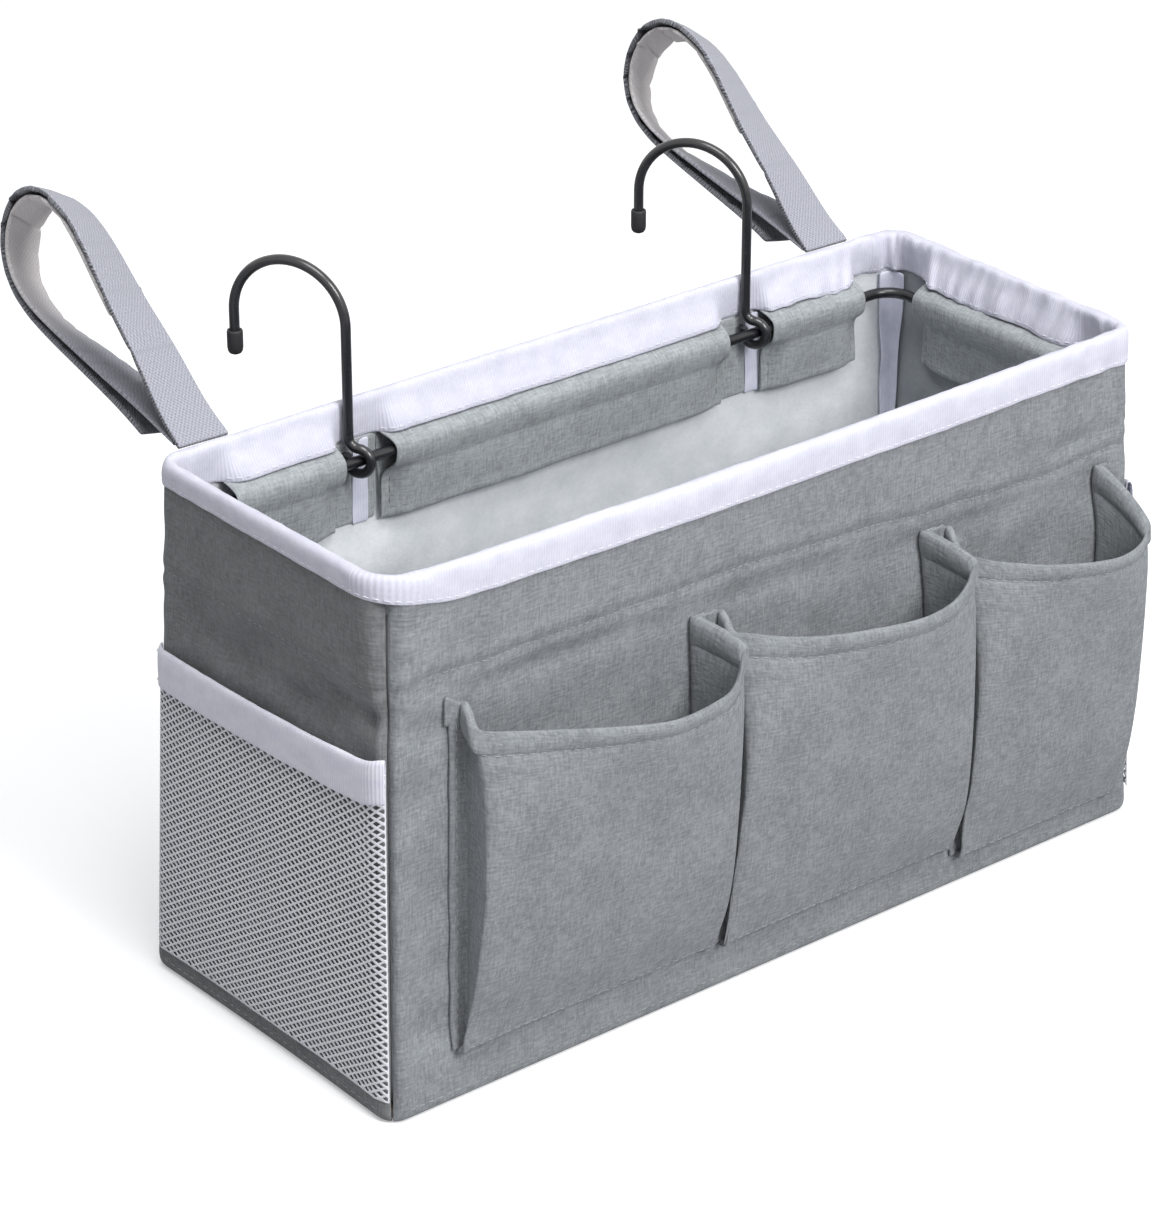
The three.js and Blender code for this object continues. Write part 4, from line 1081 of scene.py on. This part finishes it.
def pocket_line(pocket, level):
    """The pocket's plan at a level: places across, out from the panel, and the top edge's fall."""
    left, right, belly = pocket_form(level)
    seat = 0.9
    layer = POCKET_CLOTH + 0.4
    flat = seat + 2 * layer
    left_depth, right_depth, belly_depth = (
        flat + (POCKET_DEPTH - flat) * share for share in (left, right, belly)
    )
    start = seam_x(pocket, level) + 0.3
    end = seam_x(pocket + 1, level) - 0.3
    left_fold = start + 2 + 3 * left
    right_fold = end - 1
    soft = ease(0.45, 0.95, level)

    def gusset(depth):
        return seat + layer + (depth - seat - layer) * 0.45

    falls = POCKET_FALLS[pocket]
    fold_fall = FOLD_FALLS[pocket]
    sewn, pleat, folded = SEAM_FALLS[pocket]
    line = [
        (start, seat - 0.4, sewn), (start + 0.2, seat + 0.5, sewn),
        (start + 1.4, seat + 0.8, sewn * 0.85), (start + 2.6, seat + 0.5, sewn * 0.55),
        (start + 3.4, seat, sewn * 0.3), (start + PLEAT, seat, pleat),
        (start + PLEAT + layer / 2, seat + layer / 2, pleat),
        (start + PLEAT, seat + layer, pleat + 0.4),
        (left_fold + 2, gusset(left_depth) - soft, pleat + 0.4 * (folded - pleat)),
        (left_fold + 0.5, left_depth - 3.5 * left - 3 * soft, pleat + 0.7 * (folded - pleat)),
        (left_fold + soft, left_depth - 2 * left - 1.2 * soft, folded),
    ]
    first = left_fold + 2 + 2.5 * soft
    belly_out = max(belly_depth - (left_depth + right_depth) / 2, 0)
    for i in range(FRONT_STATIONS):
        share = 0.5 - 0.5 * math.cos(math.pi * i / (FRONT_STATIONS - 1))
        depth = left_depth + (right_depth - left_depth) * share
        depth += belly_out * math.sin(math.pi * share) ** 0.8
        for (a, low), (b, high) in zip(falls, falls[1:]):
            if a <= share <= b:
                fall = low + (high - low) * (share - a) / (b - a)
        line.append((first + (right_fold - first - 2) * share, depth, fall))
    line += [
        (right_fold - 0.5, right_depth - 0.4 * right, fold_fall + 1),
        (right_fold, right_depth - 2 * right, fold_fall),
        (right_fold - 0.4, right_depth - 4 * right, fold_fall * 0.85),
        (right_fold - 2, gusset(right_depth), fold_fall * 0.4),
        (end - PLEAT, seat + layer, 0), (end - PLEAT - layer / 2, seat + layer / 2, 0),
        (end - PLEAT, seat, 0), (end - 3.4, seat, 0), (end - 1.4, seat + 0.6, 0),
        (end, seat - 0.3, 0),
    ]
    return line


def front_slack(x, z):
    """How far the front panel gives in behind a place on a pocket."""
    along = (x / (half_length(z) - CORNER) + 1) * LONG_SIDE / 2
    return slack(along, x, -half_width(z), z)


def pocket(name, index):
    foot_z = POCKET_FEET[index]
    rise = POCKET_TOP - foot_z
    columns = LEFT_STATIONS + FRONT_STATIONS + RIGHT_STATIONS

    def place(column, t):
        """t is the run up the cloth: below 0 its turned foot, past its top the hem inside."""
        level = min(max(t / rise, 0), 1)
        inside = 0.0
        if t > rise:
            over = t - rise
            inside = min(over / HEM_OVER, 1) * 1.7
            level = 1 - max(over - HEM_OVER, 0) / rise
        line = pocket_line(index, level)
        k = round(column)
        across, out, fall = line[k]
        before = line[max(k - 1, 0)]
        after = line[min(k + 1, columns - 1)]
        along = Vector((after[0] - before[0], after[1] - before[1])).normalized()
        z = foot_z + rise * level - fall * level ** 3
        if t > rise:
            z += 0.5 * math.sin(math.pi * min((t - rise) / HEM_OVER, 1))
        push = 0
        if out > 1.8:
            soft = 1.3 * ripple(across * 0.03, z * 0.03, index * 7)
            soft += 0.5 * ripple(across * 0.09, z * 0.08, index)
            push = soft * ease(3, 10, out) * (1 - 0.5 * level)
            if t < rise:
                above_seam = t - rise + HEM
                push += 0.8 * hump((t - rise + 4) / 3.4) - 0.6 * hump(above_seam / 1.1)
                push += 0.25 * ripple(across * 0.33, index, 0) * hump(above_seam / 4)
        push -= inside
        if out > 3:
            z += 0.5 * ripple(across * 0.06, index * 3, 0) * level ** 2
        if t < 0:
            out = max(out + t * 2.2, 0.2)
            z += t * 0.35 + 0.3 * ripple(across * 0.12, index, 4)
        across += along.y * push
        out = max(out + along.x * push, 0.3)
        give = front_slack(across, z) * (1 - ease(1, 14, out))
        return across, -half_width(z) - out + give, z

    rows = [-1.8, -1.0, -0.4, 0.2, 1.0, 2.2, 4] + spread(7, rise - 17, 4.2)
    rows += [rise - d for d in (14, 11.5, 10, 9.4, 9, 8.6, 8, 6.5, 4.5, 2.5, 1, 0)]
    rows += [rise + d for d in (1, 2, HEM_OVER, 5, 8, HEM_OVER + HEM)]
    piece = lay_cloth(name, list(range(columns)), rows, place, [canvas], POCKET_CLOTH,
                      slot="canvas", replaces=[f"front_{name}"])
    runs = [0.0]
    line = pocket_line(index, 0.6)
    for a, b in zip(line, line[1:]):
        runs.append(runs[-1] + math.hypot(b[0] - a[0], b[1] - a[1]))
    for loop in piece.data.uv_layers["flat_cloth"].data:
        loop.uv = (runs[round(loop.uv.x / MM)] * MM, loop.uv.y)

    def on_pocket(column, t):
        """A place on the cloth's face, and the way out there."""
        right = Vector(place(min(column + 1, columns - 1), t))
        left = Vector(place(max(column - 1, 0), t))
        up = Vector(place(column, t + 1.5)) - Vector(place(column, t - 1.5))
        return Vector(place(column, t)), (right - left).cross(up).normalized()

    front = range(LEFT_STATIONS, columns - RIGHT_STATIONS + 1)
    hem_line = [on_pocket(k, rise - HEM) for k in range(front.start - 1, front.stop - 1)]
    seam_line = [on_pocket(3, t) for t in spread(2, rise - 3, 4)]
    foot_line = [on_pocket(k, 0.9) for k in front]
    sew(f"{name}_hem_stitch", hem_line, grey_thread, "canvas", length=2.6, gap=1.3, width=0.45)
    sew(f"{name}_left_seam_stitch", seam_line, grey_thread, "canvas",
        length=2.4, gap=1.4, width=0.4)
    sew(f"{name}_foot_stitch", foot_line, grey_thread, "canvas", length=2.2, gap=1.6, width=0.4)


for i, name in enumerate(("pocket_left", "pocket_middle", "pocket_right")):
    pocket(name, i)

# Rim binding: one ribbed lavender ribbon folded over the edge of canvas and lining all round, its
# two edges stitched through. It is gathered and creased at the back right corner and right rim.
rim_ribbon = ribbon_look("rim_ribbon", (0.58, 0.58, 0.7, 1), (0.84, 0.84, 0.93, 1))
BINDING = 0.6
BINDING_STITCHES = (("outer", 1.15, 183.4), ("inner", -3.6, 181.8))
BINDING_SECTION = [Vector(p) for p in (
    (1.0, 182), (1.15, 183.5), (1.15, 187), (1.2, 191), (1.05, 193.3), (0.3, 194.7), (-1.2, 195.1),
    (-2.7, 194.7), (-3.5, 193.3), (-3.65, 190), (-3.6, 186), (-3.6, 182.5), (-3.4, 180.2),
)]
# Where the ribbon is gathered: a place round the rim, how far that reaches, and how strong it is.
GATHERS = (
    (SEAMS[2], 34, 1.3), (SEAMS[1] + 4, 26, 1.2), (RIGHT, 60, 0.8), (SEAMS[3], 14, 0.4),
    (SEAMS[4], 12, 0.35), (SEAMS[2] + 36, 30, 0.6),
)


def gathered(along):
    return 0.25 + sum(much * hump(apart(along, at) / reach) for at, reach, much in GATHERS)


def over_casing(along):
    """1 where the ribbon's inner edge lies over a casing, and 0 at the openings and corners."""
    over = 0
    for _, _, middle, start, end, _ in CASINGS:
        half = (end - start) / 2
        off = apart(along, middle + (start + end) / 2)
        over = max(over, ease(half + 2, half - 4, off))
    return over


def binding_spot(along, out, z):
    """A place on the ribbon, and the way out there, from its section before it was creased."""
    much = gathered(along)
    at, _ = wall(along, 190, 0, 0)
    low = ease(194, 182, z)
    crease = ripple(at.x * 0.16, at.y * 0.16, z * 0.05 + 3)
    crease += 0.6 * ripple(at.x * 0.42, at.y * 0.42, z * 0.1 + 8)
    if out > -1.2:
        side, stitched, stiff = 1, BINDING_STITCHES[0][2], 1.1
        narrow = 4.6 * ease(90, 60, apart(along, LEFT))
    else:
        side, stitched, stiff, narrow = -1, BINDING_STITCHES[1][2], 1.7, 0
        out -= 5.4 * over_casing(along) * ease(193, 179.5, z)
    dip = 0.3 * hump((z - stitched) / 0.8)
    z += 0.5 * ripple(at.x * 0.018, at.y * 0.018, side * 5) + narrow * low
    edge = 0.9 * ripple(at.x * 0.07, at.y * 0.07, side * 9) * low
    z += much * (edge + 0.5 * ripple(at.x * 0.1, at.y * 0.1, 4) * (1 - low))
    lift = max(crease * much * stiff, -0.45)
    return wall(along, z, out + side * (lift - dip))


def binding_place(along, run):
    return binding_spot(along, *along_line(BINDING_SECTION, run))[0]


lay_cloth("rim_ribbon_tape", spread(0, AROUND, 2), line_runs(BINDING_SECTION), binding_place,
          [rim_ribbon], BINDING, join=True, slot="binding", replaces=["rim_binding"],
          held="folded", rests_on=["front_canvas"])
for label, out, z in BINDING_STITCHES:
    path = [binding_spot(s, out, z) for s in spread(0, AROUND, 2)]
    if label == "inner":
        path = [(face, -way) for face, way in path]
    sew(f"rim_{label}_stitch", path, ribbon_thread, "binding", length=2.6, gap=1.0, width=0.4)

# Hooks: one black steel wire each, bent into an eye round the frame, a foot, a shaft and the open
# hook, with a soft black cap over its end. They swing about the frame's back run.
HOOK_WIRE = 3.6
HOOK_BEND = 21.3
HOOK_SPRING = 223 - FRAME_Z
HOOK_LEG = 16.5
HOOK_EYE = 4.602
HOOK_FOOT = 3.776
HOOK_CANT = math.radians(27)
HOOK_MOUTH = HOOK_FOOT + 2 * HOOK_BEND
CAP_WALL = 0.5
# The cap's section: its radius and its height along the leg.
CAP_SECTION = (
    (0, 0), (1.2, 0.05), (2.1, 0.5), (2.6, 1.3), (2.8, 2.6), (2.8, 8.2), (2.65, 8.8), (2.2, 9),
    (1.9, 8.9),
)
hook_black = wire_look("hook_black", (0.014, 0.014, 0.016, 1), 0.32, 0.6)


def cap_look():
    look, tree, _ = new_look("hook_cap", Roughness=0.62)
    bloom = streaks(tree, object_place(tree), 900, 900, 3.0)
    colour = blend_colours(tree, bloom, (0.006, 0.006, 0.007, 1), (0.03, 0.03, 0.033, 1))
    return finish(look, colour, bloom, 0.0001, 0.5)


def hook_line():
    """The hook's wire in its own plane: out from the frame, and up."""
    foot_z = HOOK_EYE + HOOK_FOOT
    line = turn_points(0, 0, HOOK_EYE, 20, -270, 40)
    line += turn_points(0, foot_z, HOOK_FOOT, -90, 0, 10)[1:]
    line += [(HOOK_FOOT, foot_z + (HOOK_SPRING - foot_z) * k / 6) for k in range(1, 6)]
    line += turn_points(HOOK_FOOT + HOOK_BEND, HOOK_SPRING, HOOK_BEND, 180, 0, 40)
    return line + [(HOOK_MOUTH, HOOK_SPRING - HOOK_LEG + 2)]


def hook_cap(name, stand, **about):
    """The soft cap: its section spun round the leg's end, then given its wall."""
    shape = bmesh.new()
    verts = [shape.verts.new((r, 0, h)) for r, h in CAP_SECTION]
    edges = [shape.edges.new(pair) for pair in zip(verts, verts[1:])]
    bmesh.ops.spin(shape, geom=verts + edges, axis=(0, 0, 1), cent=(0, 0, 0), steps=24,
                   angle=2 * math.pi, use_merge=True)
    bmesh.ops.remove_doubles(shape, verts=shape.verts, dist=0.01)
    bmesh.ops.recalc_face_normals(shape, faces=shape.faces)
    move = stand @ Matrix.Translation((HOOK_MOUTH, 0, HOOK_SPRING - HOOK_LEG))
    bmesh.ops.transform(shape, matrix=Matrix.Scale(MM, 4) @ move, verts=shape.verts)
    mesh = bpy.data.meshes.new(name)
    shape.to_mesh(mesh)
    shape.free()
    body = add_piece(name, mesh, [cap_black], **about).modifiers.new("thickness", "SOLIDIFY")
    body.thickness = CAP_WALL * MM
    body.offset = -1


cap_black = cap_look()
for end, x in HOOK_PLACES:
    turn = Matrix.Rotation(math.pi / 2 + HOOK_CANT, 4, "Z")
    stand = Matrix.Translation((x, FRAME_Y, FRAME_Z)) @ turn
    route = [stand @ Vector((a, 0, b)) for a, b in hook_line()]
    wire(f"{end}_hook_wire", route, HOOK_WIRE, hook_black, body=f"hook_{end}", slot="hook_wire",
         replaces=[f"hook_{end}_wire"])
    hook_cap(f"{end}_hook_cap", stand, body=f"hook_{end}", slot="hook_tip",
             replaces=[f"hook_{end}_tip"])

# Straps: grey loop tape with a napped inner face, run in a long loop back over the rail to its own
# root and held by the shorter hook tape inside it. Their ends are sewn flat on the back wall.
STRAP = 20.0
STRAP_TAPE = 1.5
LOOP_TAPE = STRAP_TAPE + 0.6
SEWN_END = 3.0
STRAP_START = (65.2, 195.6)
STRAP_REACH = 106
STRAP_RISE = 71
STRAP_LEAN = 0.15
STRAP_STEP = 2.6
# How far the hook tape lies inside the loop's line, and between which shares of it they stick.
HOOK_TAPE_IN = STRAP_TAPE + 0.9
STUCK_FROM = 0.2
STUCK_TO = 0.66
# The loop's line and the hook tape's way back to its root, as shares of the reach and the rise.
STRAP_LINE = (
    (0, -0.02), (0.098, 0.1), (0.19, 0.275), (0.27, 0.405), (0.35, 0.52), (0.43, 0.66),
    (0.5, 0.785), (0.58, 0.895), (0.66, 0.95), (0.745, 0.973), (0.82, 0.954), (0.92, 0.86),
    (0.985, 0.735), (1.022, 0.59), (1.025, 0.47), (1, 0.365), (0.933, 0.268), (0.816, 0.192),
    (0.671, 0.13), (0.51, 0.062), (0.334, -0.013), (0.199, -0.093),
)
HOOK_TAPE_ROOT = (
    (0.88, 0.29), (0.79, 0.245), (0.65, 0.19), (0.5, 0.135), (0.34, 0.08), (0.2, 0.035),
    (0.09, -0.015),
)
HOOK_TAPE_END = (66.6, 192.6)


def smooth_line(points, step):
    """A smooth line through points in the plane of the loop, at about even steps."""
    dense = []
    count = len(points)
    for k in range(count - 1):
        p0, p1, p2, p3 = (points[min(max(k + d, 0), count - 1)] for d in (-1, 0, 1, 2))
        for i in range(8):
            t = i / 8
            dense.append(0.5 * (
                2 * p1 + (p2 - p0) * t + (2 * p0 - 5 * p1 + 4 * p2 - p3) * t * t
                + (3 * p1 - p0 - 3 * p2 + p3) * t ** 3
            ))
    dense.append(points[-1])
    return [along_line(dense, run) for run in spread(0, line_runs(dense)[-1], step)]


def settled(line):
    """The line without the small kinks that its points left in it."""
    for _ in range(14):
        between = [(a + 2 * b + c) / 4 for a, b, c in zip(line, line[1:], line[2:])]
        line = [line[0]] + between + [line[-1]]
    return line


def strap_spot(share):
    """A place in the loop's plane, y and z in millimetres, from its shares."""
    y, z = STRAP_START
    return Vector((y + STRAP_REACH * share[0], z + STRAP_RISE * share[1]))


def inwards(line, by):
    """The line moved towards the inside of the loop."""
    moved = []
    for k, p in enumerate(line):
        way = (line[min(k + 1, len(line) - 1)] - line[max(k - 1, 0)]).normalized()
        moved.append(p + Vector((way.y, -way.x)) * by)
    return moved


def tape_look(name, low, high, ribs, depth, change=None):
    """The ribbed face of strap tape. change turns it to other colours between two lengths."""
    look, tree, _ = new_look(name, Roughness=0.85, Sheen_Weight=0.3)
    cloth = cloth_measure(tree)
    across, along = split_cloth(tree, cloth)
    rate = ribs * math.tau
    turns = figure(tree, "MULTIPLY", across, rate)
    one = figure(tree, "SINE", figure(tree, "MULTIPLY_ADD", along, rate, turns))
    two = figure(tree, "SINE", figure(tree, "MULTIPLY_ADD", along, -0.8 * rate, turns))
    cross = figure(tree, "MULTIPLY_ADD", figure(tree, "ADD", one, two), 0.25, 0.5)
    fibre = streaks(tree, cloth, 1100, 1500)
    tone = figure(tree, "MULTIPLY_ADD", cross, 0.7, figure(tree, "MULTIPLY", fibre, 0.9))
    tone = clamped(tree, figure(tree, "ADD", tone, -0.32))
    colour = blend_colours(tree, tone, low, high)
    if change:
        start, stop, low, high = change
        steep = 1 / ((stop - start) * MM)
        share = clamped(tree, figure(tree, "MULTIPLY_ADD", along, steep, -start * MM * steep))
        colour = blend_colours(tree, share, colour, blend_colours(tree, tone, low, high))
    return finish(look, colour, figure(tree, "ADD", cross, fibre), depth, 0.8)


STRAP_DARK = (0.22, 0.225, 0.265, 1)
STRAP_PALE = (0.5, 0.51, 0.575, 1)
strap_face = tape_look("strap_ribbed_face", STRAP_DARK, STRAP_PALE, 640, 0.0002)
strap_nap = tape_look("strap_dark_nap", (0.03, 0.03, 0.036, 1), (0.4, 0.41, 0.46, 1), 900, 0.0007)
# The hook tape's cream back is blended to the strap's grey from 100 to 145 mm along its run:
# painted shade where it turns down inside the loop.
hook_tape_back = tape_look("hook_tape_back", (0.64, 0.6, 0.6, 1), (0.86, 0.83, 0.83, 1), 600,
                           0.0001, change=(100, 145, STRAP_DARK, STRAP_PALE))


def strap_tape(name, x, line, thick, looks, **about):
    """A strap's tape, laid along a line in the loop's plane, a little cupped and leaned."""
    runs = line_runs(line)
    edge = STRAP / 2

    def place(s, run):
        k = min(max(bisect.bisect(runs, run + 1e-6) - 1, 0), len(line) - 1)
        before = line[max(k - 1, 0)]
        after = line[min(k + 1, len(line) - 1)]
        way = (after - before).normalized()
        out = Vector((-way.y, way.x))
        cup = -0.35 * (s / edge) ** 2 + 0.2 * ripple(s * 0.1, run * 0.03, x)
        wander = 0.35 * ripple(run * 0.02, x, 1)
        spot = line[k] + out * cup * ease(0, 12, run)
        lean = STRAP_LEAN * (s + edge) / STRAP
        y, z = spot.x - STRAP_START[0], spot.y - STRAP_START[1]
        return (x + s + wander * ease(0, 20, run) - 0.06 * lean * y,
                spot.x + lean * z + 0.3 * lean * y, spot.y - lean * y)

    across = [-edge, -edge + 0.5] + spread(-edge + 2, edge - 2, 2.3) + [edge - 0.5, edge]
    lay_cloth(name, across, runs, place, looks, thick, **about)


loop_line = settled(smooth_line([strap_spot(p) for p in STRAP_LINE], STRAP_STEP))
inside_line = inwards(loop_line, HOOK_TAPE_IN)
last = len(inside_line) - 1
stuck = inside_line[round(STUCK_FROM * last):round(STUCK_TO * last) + 1]
root = [stuck[-1]] + [strap_spot(p) for p in HOOK_TAPE_ROOT] + [Vector(HOOK_TAPE_END)]
inner_line = settled(stuck + smooth_line(root, STRAP_STEP)[1:])
# The sewn end: its foot and top, how far out of the canvas it is, and its crossed box of stitches.
SEWN_LOW = 148
SEWN_TOP = 192
SEWN_OUT = 4.5
SEWN_BOX = ((-7.5, 151), (7.5, 151), (7.5, 178), (-7.5, 178), (-7.5, 151), (7.5, 178), (7.5, 151),
            (-7.5, 178))
for end, x in (("left", -147), ("right", 134)):
    strap_tape(f"{end}_strap_loop", x + 1.6, loop_line, LOOP_TAPE, [strap_face, strap_nap],
               body=f"strap_{end}", slot="strap_loop_tape", replaces=[f"strap_{end}_loop_tape"])
    strap_tape(f"{end}_strap_hook_tape", x + 1.6, inner_line, STRAP_TAPE, [hook_tape_back],
               body=f"strap_{end}", slot="strap_hook_tape", replaces=[f"strap_{end}_hook_tape"])
    middle = BACK - x * LONG_SIDE / (2 * (half_length(170) - CORNER))

    def sewn_place(s, z, middle=middle):
        return wall(middle - s, z, SEWN_OUT - 1.6 * ease(189, SEWN_TOP, z))[0]

    def on_sewn_end(s, z, middle=middle):
        return wall(middle - s, z, SEWN_OUT + 0.1)

    up = spread(SEWN_LOW, 189, 2.6) + [190.2, 191.2, SEWN_TOP]
    lay_cloth(f"{end}_strap_sewn_end", spread(STRAP / 2, -STRAP / 2, 2), up, sewn_place,
              [strap_face], SEWN_END, slot="strap_loop_tape", replaces=[f"strap_{end}_sewn_end"])
    sew(f"{end}_strap_box_stitch", through_corners(SEWN_BOX, 8, on_sewn_end), grey_thread,
        "strap_loop_tape", length=2.4, gap=1.2, width=0.5)
